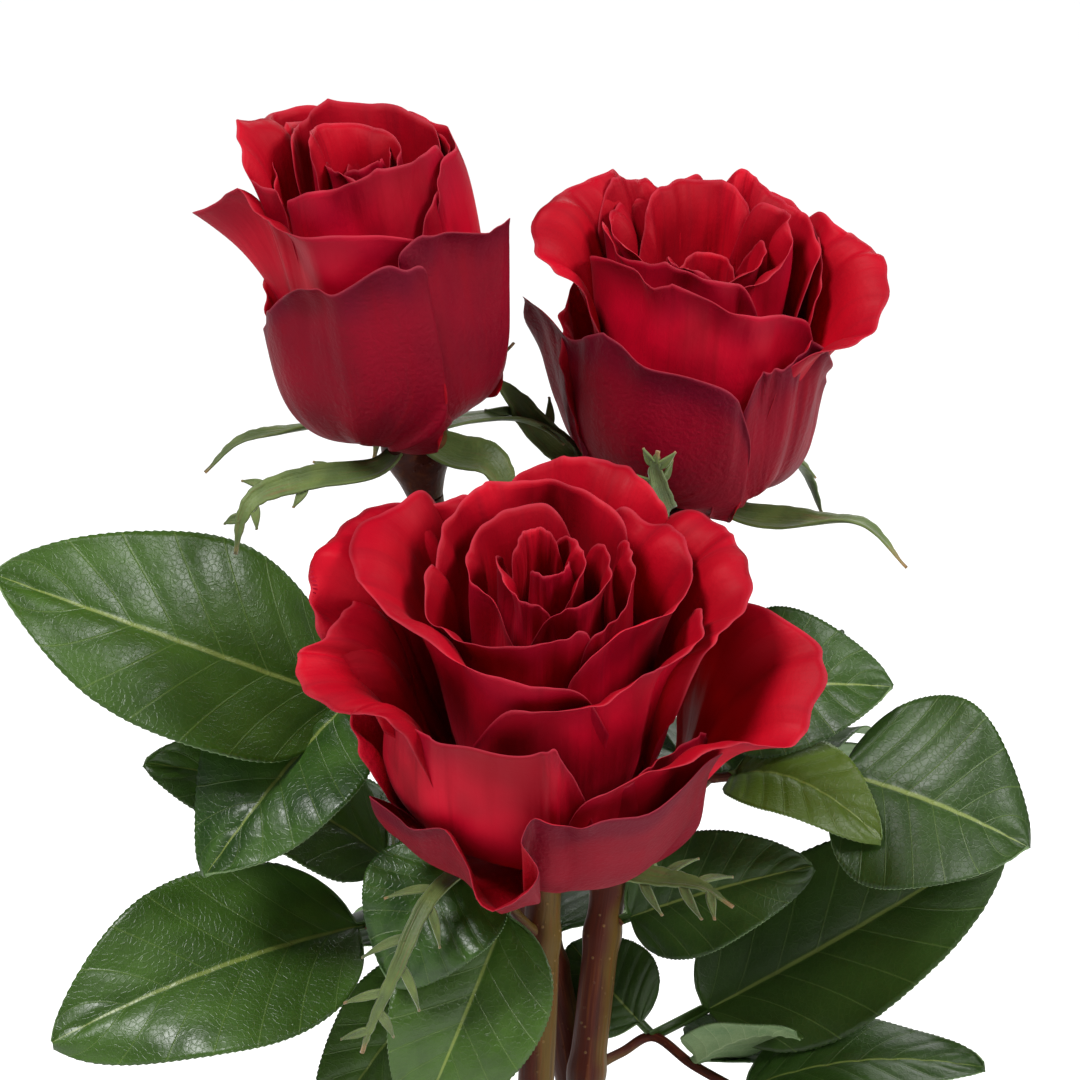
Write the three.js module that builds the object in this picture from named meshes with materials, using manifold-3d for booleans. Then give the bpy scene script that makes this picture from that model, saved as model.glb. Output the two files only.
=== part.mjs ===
// Three cut red roses standing in a plain glazed vase.
// Millimetres, +Z up, -Y to the front. The origin is the centre of the vase's flat foot.
//
// A rose has its own frame: the base point where the petals meet the hip, and an axis that leans
// sideways and tilts to the front. A place in that frame is a turn about the axis in degrees
// (0 to +X, -90 to the front), a radius from the axis and a height along it.

import * as THREE from "three";
import { mergeVertices } from "three/addons/utils/BufferGeometryUtils.js";
import Module from "manifold-3d";

const wasm = await Module();
wasm.setup();

// ---------------------------------------------------------------- driving dimensions

const GAP = 0.3;               // clear space between neighbouring pieces
const STEM_RADIUS = 3.6;
const STEM_SIDES = 8;
const PETIOLE_RADIUS = 1.2;
const BLADE_THICKNESS = 0.8;   // leaf blades
const BLADE_WIDEST = 0.7;      // below 1 the widest place is nearer the stalk
const BLADE_FULLNESS = 0.66;   // below 1 the outline is fuller than a sine
const BLADE_FOLD = 0.16;       // how far a blade's edges stand up, as a part of its half width
const SEPAL_THICKNESS = 1.0;
const PETAL_THICKNESS = 0.6;
const LIP_REACH = 0.42;        // a section leaves the rim straight for about this part of its length
const BELLY_PULL = 1.27;       // pulls a section out so that it swells to the cup radius
const TALL_RIM = 55;           // a rim at half this height or more has the full swell below it
const FLARE_FROM = 1.15;       // beyond this many cup radii a rim leans outwards
const FLARE_LEAN = 3.5;        // degrees of lean for each millimetre beyond
const LEAST_LEAN = 20;         // degrees above level
const PETAL_STEPS = [0, 0.3, 0.6, 0.87, 1];   // places along a petal's section, claw to rim

const VASE_FOOT_RADIUS = 36;
const VASE_HEIGHT = 163;
const VASE_FLOOR = 6;          // thickness of the bottom
const VASE_SEGMENTS = 26;

// The hip is the swollen end of the stem; its dome carries the petals.
const HIP_LENGTH = 15;         // from the petals' base down to the stem
const HIP_RADIUS = 6.8;
const CLAW_LOWEST = -0.5;      // height of the outermost petal's claw
const CLAW_RISE = 8;           // the innermost claw stands this much higher
const CLAW_INNER_RADIUS = 1.8;
const CLAW_OUTER_RADIUS = 6;

// ---------------------------------------------------------------- the three roses
// A petal row is [cup radius, lip angle, lip roll, rim points]. The lip angle is 90 where the
// petal ends upright and 0 where it ends level; the roll is how far the lip bends over outwards.
// The rim points are [turn, radius, height] from one side of the petal to the other.
// Petals are listed from the innermost to the outermost.
// A sepal row is [width, path points]: [turn, radius, height] from under the petals to its tip.

const ROSES = [
  {
    name: "left_rose", base: [-27.5, -1, 322], lean: -9, tilt: 13,
    heart: { radius: 11.5, top: 58 },
    stem: [[-20, 8, 280], [-12, 12.5, 245], [-3, 15, 215], [2.5, 15.5, 190], [7, 14.5, 160],
      [10.5, 10, 120], [13, 4, 70], [14, 0, 25]],
    sepals: [
      [5, [[150, 16, -2], [170, 26, 0], [175, 34, 0], [180, 41, -4]]],
      [5, [[-130, 12, -4], [-145, 23, -2], [-150, 33, -2], [-150, 38, -5], [-150, 41, -12]]],
      [10, [[-40, 10, -5], [-30, 16, -7], [-30, 18, -14], [-35, 15, -22]]],
      [6, [[40, 13, -5], [35, 24, -9], [30, 32, -17], [30, 33, -27]]],
      [6, [[105, 13, -5], [105, 25, -6], [105, 34, -13], [110, 36, -23]]],
    ],
    petals: [
      [13.5, 92, 12, [[-25, 12, 42], [0, 14, 54], [30, 15, 57], [60, 15, 60], [90, 15, 61],
        [120, 15, 62], [140, 15, 61], [165, 13, 62], [185, 13, 60], [200, 13, 46]]],
      [13.8, 94, 14, [[-165, 15, 36], [-155, 17, 51], [-130, 17, 56], [-100, 16, 58], [-70, 15.5, 59],
        [-40, 15.5, 59], [-20, 16, 58], [-5, 15, 44]]],
      [15, 92, 12, [[-70, 17, 34], [-50, 17, 48], [-25, 16.5, 53], [0, 16, 54], [30, 16, 56],
        [60, 16, 54], [80, 16, 40]]],
      [15.2, 90, 16, [[85, 16, 40], [110, 17, 56], [140, 17.5, 60], [170, 17, 58], [195, 17, 52],
        [210, 17, 40]]],
      [17.6, 82, 18, [[-205, 22, 28], [-200, 27, 40], [-194, 32, 46], [-185, 33.5, 49],
        [-176, 29.5, 52], [-167, 25, 55], [-157, 23, 52], [-145, 22, 51], [-120, 23, 51], [-95, 21, 50],
        [-70, 20.5, 47], [-50, 19.5, 41], [-42, 17.5, 30]]],
      [15.6, 98, 8, [[-48, 16.5, 30], [-40, 17, 48], [-30, 17, 56], [0, 17, 56], [35, 17, 57],
        [60, 17, 58], [85, 17.5, 54], [105, 18, 40]]],
      [16.6, 84, 22, [[90, 19, 40], [100, 20, 54], [115, 21, 60], [135, 23, 61], [155, 21.5, 63],
        [175, 22.5, 65], [190, 22.5, 62], [200, 21, 57], [208, 18, 54], [213, 17.5, 42]]],
      [19, 90, 16, [[-104, 20.5, 10], [-90, 22, 30], [-78, 22, 39], [-75, 22, 45], [-55, 22.5, 46],
        [-35, 24, 44], [-20, 27.5, 44], [-8, 24, 39], [12, 22.5, 32], [35, 20.5, 10]]],
      [19.2, 88, 20, [[110, 20, 10], [130, 22.5, 28], [150, 23, 34], [170, 23, 34], [185, 23, 28],
        [200, 21, 10]]],
      [20.6, 90, 14, [[-200, 20.5, 8], [-190, 23.5, 20], [-172, 24.5, 26], [-157, 24, 32],
        [-140, 25, 37], [-125, 25, 40], [-113, 24.5, 39], [-100, 24.5, 41], [-86, 24, 44],
        [-76, 24, 43], [-66, 23.5, 42], [-66, 22.5, 30], [-68, 21.5, 18], [-72, 19, 6]]],
      [20.2, 88, 20, [[12, 19, 8], [28, 21.5, 24], [48, 23, 36], [75, 24, 41], [105, 24, 38],
        [130, 23.5, 28], [145, 21, 10]]],
    ],
  },
  {
    name: "right_rose", base: [25.5, 23, 306.5], lean: 4.5, tilt: 18,
    heart: { radius: 12.5, top: 52 },
    stem: [[20.5, 29, 268], [14.5, 20, 242], [9.8, 12.5, 220], [6.8, 7.5, 195], [3, 4, 160],
      [-4, -1, 115], [-10, -5, 65], [-13, -7, 25]],
    sepals: [
      [6, [[-165, 15, 0], [-170, 25, 6], [-175, 34, 15], [-175, 40, 22], [-175, 36, 29]]],
      [7, [[-40, 15, -3], [-30, 27, -1], [-30, 39, 3], [-30, 49, -3]]],
      [5, [[-100, 15, -1], [-100, 26, 6], [-105, 31, 18], [-105, 31, 23]]],
      [6, [[60, 17, -5], [50, 31, -8], [50, 41, -17], [45, 44, -27]]],
      [6, [[120, 18, -6], [120, 33, -10], [120, 42, -18], [125, 43, -29]]],
    ],
    petals: [
      [14.5, 90, 16, [[-195, 18, 38], [-185, 21, 54], [-165, 18, 51], [-140, 17, 53], [-110, 17, 54],
        [-80, 17, 53], [-65, 17.5, 50], [-50, 18, 38]]],
      [15.5, 84, 18, [[-30, 18, 36], [-10, 20.5, 50], [20, 21, 54], [40, 20, 55], [60, 19, 56],
        [70, 19, 59], [80, 18.5, 56], [100, 17, 42]]],
      [16, 84, 20, [[82, 19, 38], [92, 20, 54], [105, 20, 55], [120, 20, 54], [135, 21, 57],
        [148, 22, 59], [160, 22, 54], [175, 21, 40]]],
      [17.5, 88, 16, [[-200, 20, 28], [-185, 22, 44], [-165, 23, 51], [-135, 22, 54], [-120, 21.5, 52],
        [-105, 21, 53], [-85, 21.5, 50], [-65, 22, 48], [-50, 23, 47], [-35, 24, 43], [-25, 24, 32]]],
      [18, 88, 18, [[-35, 20, 28], [-18, 22, 44], [5, 22, 50], [35, 22, 53], [60, 21.5, 54],
        [85, 21, 48], [105, 20, 32]]],
      [18.6, 74, 26, [[115, 21, 30], [130, 22, 50], [143, 23.5, 59], [155, 26, 58], [166, 29.5, 57],
        [176, 33, 55], [186, 34, 51], [195, 31, 48], [204, 27, 46], [214, 24, 38], [224, 23, 28]]],
      [20, 74, 20, [[-60, 23.5, 22], [-52, 25, 36], [-45, 29, 41], [-35, 33.5, 42], [-27, 35, 44],
        [-17, 35.5, 47], [-7, 34, 50], [3, 32, 52], [14, 26, 54], [30, 24, 54], [45, 23, 44],
        [55, 22.5, 28]]],
      [21, 84, 22, [[115, 22, 8], [135, 25, 26], [155, 26, 36], [175, 27, 36], [190, 27, 30],
        [203, 26.5, 20], [213, 23, 8]]],
      [22.8, 88, 14, [[-206, 23.5, 6], [-196, 30, 20], [-189, 34, 28], [-182, 35, 37], [-175, 31, 36],
        [-165, 26, 33], [-150, 25.5, 37], [-135, 25.5, 39], [-115, 26, 37.5], [-95, 26, 36.5],
        [-80, 26.5, 35], [-74, 26.5, 31], [-67, 26, 21], [-68, 22.5, 6]]],
      [21, 82, 26, [[14, 20, 6], [32, 24, 24], [52, 27, 38], [80, 28, 41], [110, 27, 37], [135, 26, 24],
        [150, 22.5, 8]]],
      [21.4, 88, 12, [[-80, 23, 10], [-69, 25, 34], [-60, 25, 37], [-50, 26, 39], [-40, 26.5, 40.5],
        [-30, 27, 37], [-15, 25.5, 29], [5, 24, 20], [20, 22, 8]]],
    ],
  },
  {
    name: "front_rose", base: [-2, -21.5, 254], lean: 0, tilt: 33,
    heart: { radius: 14, top: 60 },
    stem: [[-2.5, -8.5, 228], [-3.2, -9, 210], [-4, -11, 190], [-5, -13, 160], [-6, -17, 120],
      [-2, -20, 70], [2, -20, 25]],
    sepals: [
      [3, [[-140, 16, -5], [-135, 31, -4], [-130, 44, -11], [-130, 51, -20], [-130, 54, -26]]],
      [4.5, [[-55, 14, -5], [-40, 25, -4], [-35, 35, -2], [-35, 43, -3]]],
      [6, [[-5, 12, -8], [5, 21, -16], [10, 27, -17]]],
      [6, [[75, 15, -8], [80, 26, -15], [80, 32, -27], [80, 32, -38]]],
      [6, [[155, 13, -7], [150, 25, -12], [155, 31, -21], [160, 32, -30]]],
    ],
    petals: [
      [15.5, 86, 16, [[165, 18, 45], [175, 20.5, 63], [190, 22.5, 64], [205, 23.5, 61], [220, 22, 60],
        [240, 18.5, 61], [262, 17.5, 63], [280, 17.5, 64], [295, 17, 64], [308, 16, 49]]],
      [14.5, 90, 14, [[-75, 16, 45], [-62, 17, 61], [-40, 17, 63], [-15, 16.5, 64], [10, 16, 65],
        [30, 16, 63], [45, 15, 47]]],
      [16.6, 88, 16, [[20, 16, 45], [30, 17, 64], [60, 18.5, 66], [85, 19.5, 67], [110, 20, 67.5],
        [130, 20.5, 68], [150, 20.5, 66.5], [170, 20.5, 65], [185, 20, 59], [197, 19, 45]]],
      [20.5, 76, 22, [[125, 27, 41], [135, 31, 61], [150, 33, 63], [165, 36, 65], [182, 35.5, 65],
        [198, 31, 64], [215, 27, 62], [240, 24, 59], [265, 24, 59], [285, 24, 56], [300, 23, 41]]],
      [18.5, 80, 22, [[-84, 19, 43], [-74, 20, 57], [-52, 20, 63], [-30, 23, 63.5], [-10, 26, 61.5],
        [10, 27.5, 60], [28, 28, 60], [42, 26, 58], [56, 24, 59], [70, 22, 43]]],
      [21.5, 84, 18, [[-125, 24, 37], [-105, 25.5, 53], [-85, 26, 54], [-68, 26, 54], [-50, 27, 57],
        [-38, 29, 58], [-27, 31, 60], [-18, 30, 62], [-8, 27.5, 57], [0, 26, 43]]],
      [21, 78, 20, [[92, 24, 41], [106, 27, 55], [124, 29, 58], [142, 30, 59], [158, 29.5, 57],
        [172, 28, 43]]],
      [22.6, 70, 24, [[-36, 29, 41], [-27, 32, 56], [-18, 34.5, 59], [-8, 36.5, 60], [5, 37.5, 59],
        [18, 37.5, 58], [28, 37, 57], [40, 35, 56], [50, 31.5, 49], [60, 29, 35]]],
      [23.5, 80, 20, [[36, 29, 37], [46, 32.5, 54], [57, 33.5, 58], [70, 34, 59], [85, 33.5, 58],
        [100, 33, 54], [113, 31.5, 47], [125, 29, 35]]],
      [24, 66, 26, [[120, 29, 35], [134, 33, 54], [145, 36, 59], [156, 40, 60], [169, 43, 59.5],
        [181, 43.5, 59], [191, 41.5, 55], [199, 37, 47], [206, 33, 35]]],
      [25.5, 70, 18, [[163, 31, 29], [174, 34, 51], [185, 37, 57], [193, 42, 56], [196, 47, 55],
        [203, 48, 53], [212, 45, 51], [217, 40, 52], [223, 36, 47], [230, 32, 31]]],
      [26, 88, 10, [[-92, 29, 17], [-80, 30, 31], [-60, 31, 36], [-40, 31, 36], [-20, 31, 31],
        [-8, 30, 17]]],
      [26.5, 68, 35, [[28, 26, 9], [46, 34, 27], [64, 38, 39], [84, 40, 43], [104, 39, 39],
        [120, 35, 27], [132, 26, 9]]],
      [28.5, 90, 10, [[-178, 28, 11], [-168, 31, 33], [-155, 32, 41], [-143, 31.5, 43], [-130, 32, 44],
        [-117, 31.5, 47], [-95, 31.5, 49], [-88, 32, 51], [-84, 31.5, 46], [-77, 31.5, 35],
        [-70, 30, 17]]],
      [28, 74, 30, [[128, 26, 7], [143, 33, 23], [158, 36, 31], [174, 37, 33], [188, 36.5, 28],
        [200, 34, 19], [210, 27, 7]]],
      [29.5, 70, 14, [[-90, 29, 11], [-80, 33, 34], [-70, 33, 39], [-58, 33.5, 40], [-45, 37, 42],
        [-36, 41, 43], [-31, 46, 41], [-25, 51, 40], [-18, 52, 43], [-9, 51, 46], [-3, 50, 47],
        [3, 45, 48], [11, 38, 47], [19, 35, 43], [28, 31, 25]]],
      [30.5, 82, 16, [[-164, 27, 5], [-159, 36, 15], [-150, 34, 16], [-135, 34, 21], [-122, 34, 25],
        [-114, 36, 20], [-106, 40, 15], [-98, 42, 18], [-92, 39, 24], [-97, 37.5, 31], [-93, 37, 36],
        [-84, 37, 33], [-76, 37, 36], [-57, 36.5, 33], [-43, 37, 36], [-34, 38, 38], [-29, 34, 25],
        [-27, 27, 7]]],
    ],
  },
];

// ---------------------------------------------------------------- the leaves
// A rose leaf is compound: leaflets on one stalk that leaves the stem. The stalk is a path in the
// vase's frame. Each leaflet starts at one of its points and is given by its tip, its width, the
// way its upper side faces and how far its midrib arches up and sways sideways.

const LEAVES = [
  {
    name: "left_rose_leaf_1", stalk: [[-14.5, 11.5, 255], [-28, 4, 262], [-40, -4, 268]],
    leaflets: [
      { from: 2, tip: [-106, -22, 298], width: 44, face: [0, -0.75, 0.65], arch: 4, sway: 2 },
      { from: 2, tip: [-67, -27, 240], width: 33, face: [-0.3, -0.7, 0.6], arch: 7, sway: 3 },
      { from: 1, tip: [-60, 42, 270], width: 30, face: [-0.2, 0.3, 0.9], arch: 4, sway: 0 },
    ],
  },
  {
    name: "left_rose_leaf_2", stalk: [[-7, 14, 228], [-20, 10, 230], [-32, 7, 232]],
    leaflets: [
      { from: 2, tip: [-80, 2, 254], width: 27, face: [0.1, -0.7, 0.7], arch: 3, sway: -3 },
      { from: 2, tip: [-66, 40, 236], width: 28, face: [-0.3, 0.1, 0.95], arch: 4, sway: 0 },
      { from: 1, tip: [-30, 50, 226], width: 26, face: [0, 0.3, 0.95], arch: 4, sway: 0 },
    ],
  },
  {
    name: "left_rose_leaf_3", stalk: [[-1.5, 15, 208], [-18, 6, 214], [-37, -4, 223]],
    leaflets: [
      { from: 2, tip: [-97, -22, 205], width: 40, face: [0, -0.75, 0.65], arch: 6, sway: 0 },
      { from: 1, tip: [-46, 2, 177], width: 25, face: [-0.4, -0.7, 0.5], arch: 3, sway: 0 },
      { from: 1, tip: [-52, 42, 206], width: 28, face: [-0.4, 0.3, 0.85], arch: 4, sway: 0 },
    ],
  },
  {
    name: "front_rose_leaf", stalk: [[-3, -9.5, 222], [-9, -17, 231], [-13, -22, 242]],
    leaflets: [
      { from: 2, tip: [-31, -30, 219], width: 28, face: [0, -0.85, 0.5], arch: 4, sway: -3 },
      { from: 1, tip: [-27, -25, 188], width: 30, face: [0.1, -0.9, 0.4], arch: 4, sway: 0 },
    ],
  },
  {
    name: "right_rose_leaf_1", stalk: [[19.5, 28, 262], [24, 26, 262], [29, 22, 262]],
    leaflets: [
      { from: 2, tip: [66, 14, 266], width: 30, face: [-0.1, -0.8, 0.55], arch: 4, sway: 0 },
      { from: 1, tip: [58, 62, 264], width: 28, face: [0.2, 0.2, 0.95], arch: 4, sway: 0 },
    ],
  },
  {
    name: "right_rose_leaf_2", stalk: [[14.7, 20.5, 243], [34, 16, 247], [54, 10, 250]],
    leaflets: [
      { from: 2, tip: [92, -2, 238], width: 42, face: [0.05, -0.8, 0.6], arch: 4, sway: 0 },
      { from: 1, tip: [63, -6, 241], width: 22, face: [0, -0.6, 0.8], arch: 8, sway: 0 },
      { from: 1, tip: [64, 52, 246], width: 26, face: [0.2, 0.2, 0.95], arch: 4, sway: 0 },
    ],
  },
  {
    name: "right_rose_leaf_3", stalk: [[9, 11.5, 216], [13, 11, 219]],
    leaflets: [
      { from: 1, tip: [50, 2, 233], width: 25, face: [-0.1, -0.85, 0.5], arch: 3, sway: 0 },
    ],
  },
  {
    name: "right_rose_leaf_4",
    stalk: [[6, 7.5, 189], [13, 12, 191], [19.5, 13, 194], [27, 8, 190], [36, 4, 186]],
    leaflets: [
      { from: 2, tip: [88, 5, 238], width: 38, face: [-0.2, -0.85, 0.5], arch: -4, sway: 0, bare: 12 },
      { from: 2, tip: [3, 24, 210], width: 22, face: [-0.2, -0.9, 0.3], arch: 2, sway: 0, bare: 4 },
      { from: 3, tip: [47, -13, 203], width: 20, face: [-0.2, 0.7, 0.6], arch: 3, sway: 0 },
      { from: 3, tip: [50, 34, 186], width: 22, face: [0, -0.3, 0.9], arch: 3, sway: 0 },
      { from: 4, tip: [84, -5, 194], width: 24, face: [0, -0.4, 0.9], arch: 5, sway: 0 },
    ],
  },
  {
    name: "back_leaf_1", stalk: [[-10.5, 13, 240], [-16, 32, 250], [-20, 52, 256]],
    leaflets: [
      { from: 2, tip: [-22, 106, 250], width: 36, face: [0, 0.3, 0.95], arch: 6, sway: 0 },
      { from: 2, tip: [-58, 76, 252], width: 28, face: [-0.2, 0.3, 0.9], arch: 4, sway: 0 },
      { from: 2, tip: [12, 78, 254], width: 28, face: [0.2, 0.3, 0.9], arch: 4, sway: 0 },
      { from: 1, tip: [14, 56, 262], width: 24, face: [0.2, 0.3, 0.9], arch: 4, sway: 0 },
    ],
  },
  {
    name: "back_leaf_2", stalk: [[11, 14, 225], [22, 34, 232], [32, 54, 236]],
    leaflets: [
      { from: 2, tip: [52, 102, 228], width: 36, face: [0.1, 0.3, 0.95], arch: 6, sway: 0 },
      { from: 2, tip: [78, 70, 232], width: 28, face: [0.3, 0.3, 0.9], arch: 4, sway: 0 },
      { from: 2, tip: [8, 92, 232], width: 28, face: [-0.1, 0.3, 0.9], arch: 4, sway: 0 },
    ],
  },
  {
    name: "back_leaf_3", stalk: [[3, 16, 190], [2, 36, 198], [0, 54, 203]],
    leaflets: [
      { from: 2, tip: [-4, 106, 196], width: 38, face: [0, 0.3, 0.95], arch: 6, sway: 0 },
      { from: 2, tip: [-42, 74, 198], width: 30, face: [-0.2, 0.3, 0.9], arch: 4, sway: 0 },
      { from: 2, tip: [36, 80, 196], width: 28, face: [0.2, 0.3, 0.9], arch: 4, sway: 0 },
    ],
  },
];

// ---------------------------------------------------------------- materials

const petalRed = new THREE.MeshStandardMaterial({ color: 0xa8101c, roughness: 0.55, metalness: 0 });
const leafGreen = new THREE.MeshStandardMaterial({ color: 0x2f5a22, roughness: 0.35, metalness: 0 });
const sepalGreen = new THREE.MeshStandardMaterial({ color: 0x6f8a3c, roughness: 0.5, metalness: 0 });
const stemBrown = new THREE.MeshStandardMaterial({ color: 0x5a3a22, roughness: 0.45, metalness: 0 });
const glaze = new THREE.MeshStandardMaterial({ color: 0xe9e6df, roughness: 0.2, metalness: 0 });

// ---------------------------------------------------------------- solids and gaps

const placed = [];   // every finished piece, as its body grown by the gap

function manifoldOf(geometry) {
  const bare = geometry.clone();
  bare.deleteAttribute("normal");
  bare.deleteAttribute("uv");
  const merged = mergeVertices(bare, 1e-4);
  return new wasm.Manifold(new wasm.Mesh({
    numProp: 3,
    vertProperties: new Float32Array(merged.attributes.position.array),
    triVerts: new Uint32Array(merged.index.array),
  }));
}

function geometryOf(solid) {
  const mesh = solid.getMesh();
  const geometry = new THREE.BufferGeometry();
  geometry.setAttribute("position", new THREE.BufferAttribute(mesh.vertProperties, 3));
  geometry.setIndex(new THREE.BufferAttribute(mesh.triVerts, 1));
  return geometry;
}

// The same body with every vertex moved out along its normal.
function grown(solid, distance) {
  const geometry = geometryOf(solid);
  geometry.computeVertexNormals();
  const { position, normal } = geometry.attributes;
  for (let i = 0; i < position.count; i++) {
    position.setXYZ(i,
      position.getX(i) + normal.getX(i) * distance,
      position.getY(i) + normal.getY(i) * distance,
      position.getZ(i) + normal.getZ(i) * distance);
  }
  return manifoldOf(geometry);
}

function boxesMeet(a, b) {
  const [p, q] = [a.boundingBox(), b.boundingBox()];
  return [0, 1, 2].every(k => p.min[k] < q.max[k] && q.min[k] < p.max[k]);
}

function largestBody(solid) {
  return solid.decompose().reduce((a, b) => (a.volume() > b.volume() ? a : b));
}

// Cuts a piece back from every piece placed before it, and adds it to them.
function clearOfNeighbours(solid) {
  let cut = solid;
  for (const other of placed) {
    if (boxesMeet(cut, other)) cut = cut.subtract(other);
  }
  placed.push(solid.add(grown(solid, 1.25 * GAP)));
  return largestBody(cut);
}

function pieceMesh(name, solid, material) {
  const mesh = new THREE.Mesh(geometryOf(clearOfNeighbours(solid)), material);
  mesh.name = name;
  return mesh;
}

// A closed sheet of even thickness around a grid of points.
function sheet(grid, thickness) {
  const rows = grid.length;
  const columns = grid[0].length;
  const last = columns - 1;
  const positions = [];
  for (const side of [0.5, -0.5]) {
    for (let i = 0; i < rows; i++) {
      for (let j = 0; j < columns; j++) {
        const along = grid[Math.min(i + 1, rows - 1)][j].clone().sub(grid[Math.max(i - 1, 0)][j]);
        const across = grid[i][Math.min(j + 1, last)].clone().sub(grid[i][Math.max(j - 1, 0)]);
        const normal = along.cross(across).normalize();
        positions.push(...grid[i][j].clone().addScaledVector(normal, side * thickness).toArray());
      }
    }
  }
  const at = (side, i, j) => side * rows * columns + i * columns + j;
  const index = [];
  const quad = (a, b, c, d) => index.push(a, b, c, a, c, d);
  for (let i = 0; i < rows - 1; i++) {
    for (let j = 0; j < last; j++) {
      quad(at(0, i, j), at(0, i + 1, j), at(0, i + 1, j + 1), at(0, i, j + 1));
      quad(at(1, i, j), at(1, i, j + 1), at(1, i + 1, j + 1), at(1, i + 1, j));
    }
  }
  for (let i = 0; i < rows - 1; i++) {
    quad(at(0, i, 0), at(1, i, 0), at(1, i + 1, 0), at(0, i + 1, 0));
    quad(at(0, i, last), at(0, i + 1, last), at(1, i + 1, last), at(1, i, last));
  }
  for (let j = 0; j < last; j++) {
    quad(at(0, 0, j), at(0, 0, j + 1), at(1, 0, j + 1), at(1, 0, j));
    quad(at(0, rows - 1, j), at(1, rows - 1, j), at(1, rows - 1, j + 1), at(0, rows - 1, j + 1));
  }
  const geometry = new THREE.BufferGeometry();
  geometry.setAttribute("position", new THREE.Float32BufferAttribute(positions, 3));
  geometry.setIndex(index);
  return manifoldOf(geometry);
}

// A round bar along a path.
function bar(points, radius, sides, steps) {
  const path = new THREE.CatmullRomCurve3(points.map(p => new THREE.Vector3(...p)));
  const section = new THREE.Shape().absarc(0, 0, radius, 0, 2 * Math.PI);
  return manifoldOf(new THREE.ExtrudeGeometry(section, {
    extrudePath: path, steps, curveSegments: sides / 2, bevelEnabled: false,
  }));
}

// A solid of revolution about +Z from [radius, height] points.
function turned(profile, segments) {
  const geometry = new THREE.LatheGeometry(profile.map(p => new THREE.Vector2(...p)), segments);
  geometry.rotateX(Math.PI / 2);
  return geometry;
}

function smoothstep(x) {
  const t = THREE.MathUtils.clamp(x, 0, 1);
  return t * t * (3 - 2 * t);
}

// ---------------------------------------------------------------- a rose

const radians = THREE.MathUtils.degToRad;

function roseFrame(rose) {
  const [aside, forward] = [rose.lean, rose.tilt].map(angle => Math.tan(radians(angle)));
  const axis = new THREE.Vector3(aside, -forward, 1).normalize();
  const right = new THREE.Vector3(1, 0, 0).addScaledVector(axis, -axis.x).normalize();
  const back = axis.clone().cross(right);
  return { base: new THREE.Vector3(...rose.base), axis, right, back };
}

function inFrame(frame, turn, radius, height) {
  return frame.base.clone()
    .addScaledVector(frame.right, radius * Math.cos(radians(turn)))
    .addScaledVector(frame.back, radius * Math.sin(radians(turn)))
    .addScaledVector(frame.axis, height);
}

// A petal's section is a cubic curve from the claw, out to the cup and up to the rim. A rim well
// outside the cup leans outwards, and the last stretch of every section rolls over.
function petalSection(claw, cup, lipAngle, roll, radius, height) {
  const reach = LIP_REACH * Math.hypot(radius - claw.radius, height - claw.height);
  const flare = Math.max(0, radius - FLARE_FROM * cup);
  const lean = radians(Math.max(lipAngle - FLARE_LEAN * flare, LEAST_LEAN));
  const belly = BELLY_PULL * cup * THREE.MathUtils.clamp(0.5 + height / TALL_RIM, 0, 1);
  const curve = new THREE.CubicBezierCurve(
    new THREE.Vector2(claw.radius, claw.height),
    new THREE.Vector2(belly, claw.height + Math.min(0.05 * height, 2)),
    new THREE.Vector2(radius - reach * Math.cos(lean), height - reach * Math.sin(lean)),
    new THREE.Vector2(radius, height),
  );
  const points = PETAL_STEPS.map(t => curve.getPoint(t));
  const [lipStart, lip] = points.slice(-2);
  lipStart.rotateAround(lip, -radians(roll) / 2);
  return points;
}

function petalSolid(frame, [cup, lipAngle, roll, rim], order) {
  const claw = {
    radius: THREE.MathUtils.lerp(CLAW_INNER_RADIUS, CLAW_OUTER_RADIUS, order),
    height: CLAW_LOWEST + CLAW_RISE * (1 - order),
  };
  const middle = (rim[0][0] + rim[rim.length - 1][0]) / 2;
  const grid = rim.map(([turn, radius, height]) => {
    const section = petalSection(claw, cup, lipAngle, roll, radius, height);
    return section.map((p, k) => {
      const spread = 0.3 + 0.7 * smoothstep(1.7 * PETAL_STEPS[k]);
      return inFrame(frame, middle + (turn - middle) * spread, p.x, p.y);
    });
  });
  return sheet(grid, PETAL_THICKNESS);
}

// The tightly wound inner petals, as one long bud shape.
function heartSolid(frame, heart) {
  const bottom = CLAW_LOWEST + CLAW_RISE + 3;
  const profile = [];
  for (let k = 0; k <= 8; k++) {
    const s = k / 8;
    const fullness = Math.sin(Math.PI * Math.pow(s, 0.9)) ** 0.62;
    profile.push([heart.radius * fullness, bottom + (heart.top - bottom) * s]);
  }
  profile[0][0] = 0;
  profile[8][0] = 0;
  return manifoldOf(standOn(frame, turned(profile, 10)));
}

function standOn(frame, geometry) {
  const place = new THREE.Matrix4().makeBasis(frame.right, frame.back, frame.axis).setPosition(frame.base);
  return geometry.applyMatrix4(place);
}

function hipSolid(frame) {
  const dome = CLAW_LOWEST + CLAW_RISE - 1.3;
  const profile = [
    [0, -HIP_LENGTH], [STEM_RADIUS, -HIP_LENGTH], [STEM_RADIUS + 0.6, -0.8 * HIP_LENGTH],
    [0.88 * HIP_RADIUS, -0.55 * HIP_LENGTH], [HIP_RADIUS, -0.34 * HIP_LENGTH],
    [0.96 * HIP_RADIUS, -0.15 * HIP_LENGTH], [0.5 * HIP_RADIUS, 0.5 * dome], [0, dome],
  ];
  return manifoldOf(standOn(frame, turned(profile, 12)));
}

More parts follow.
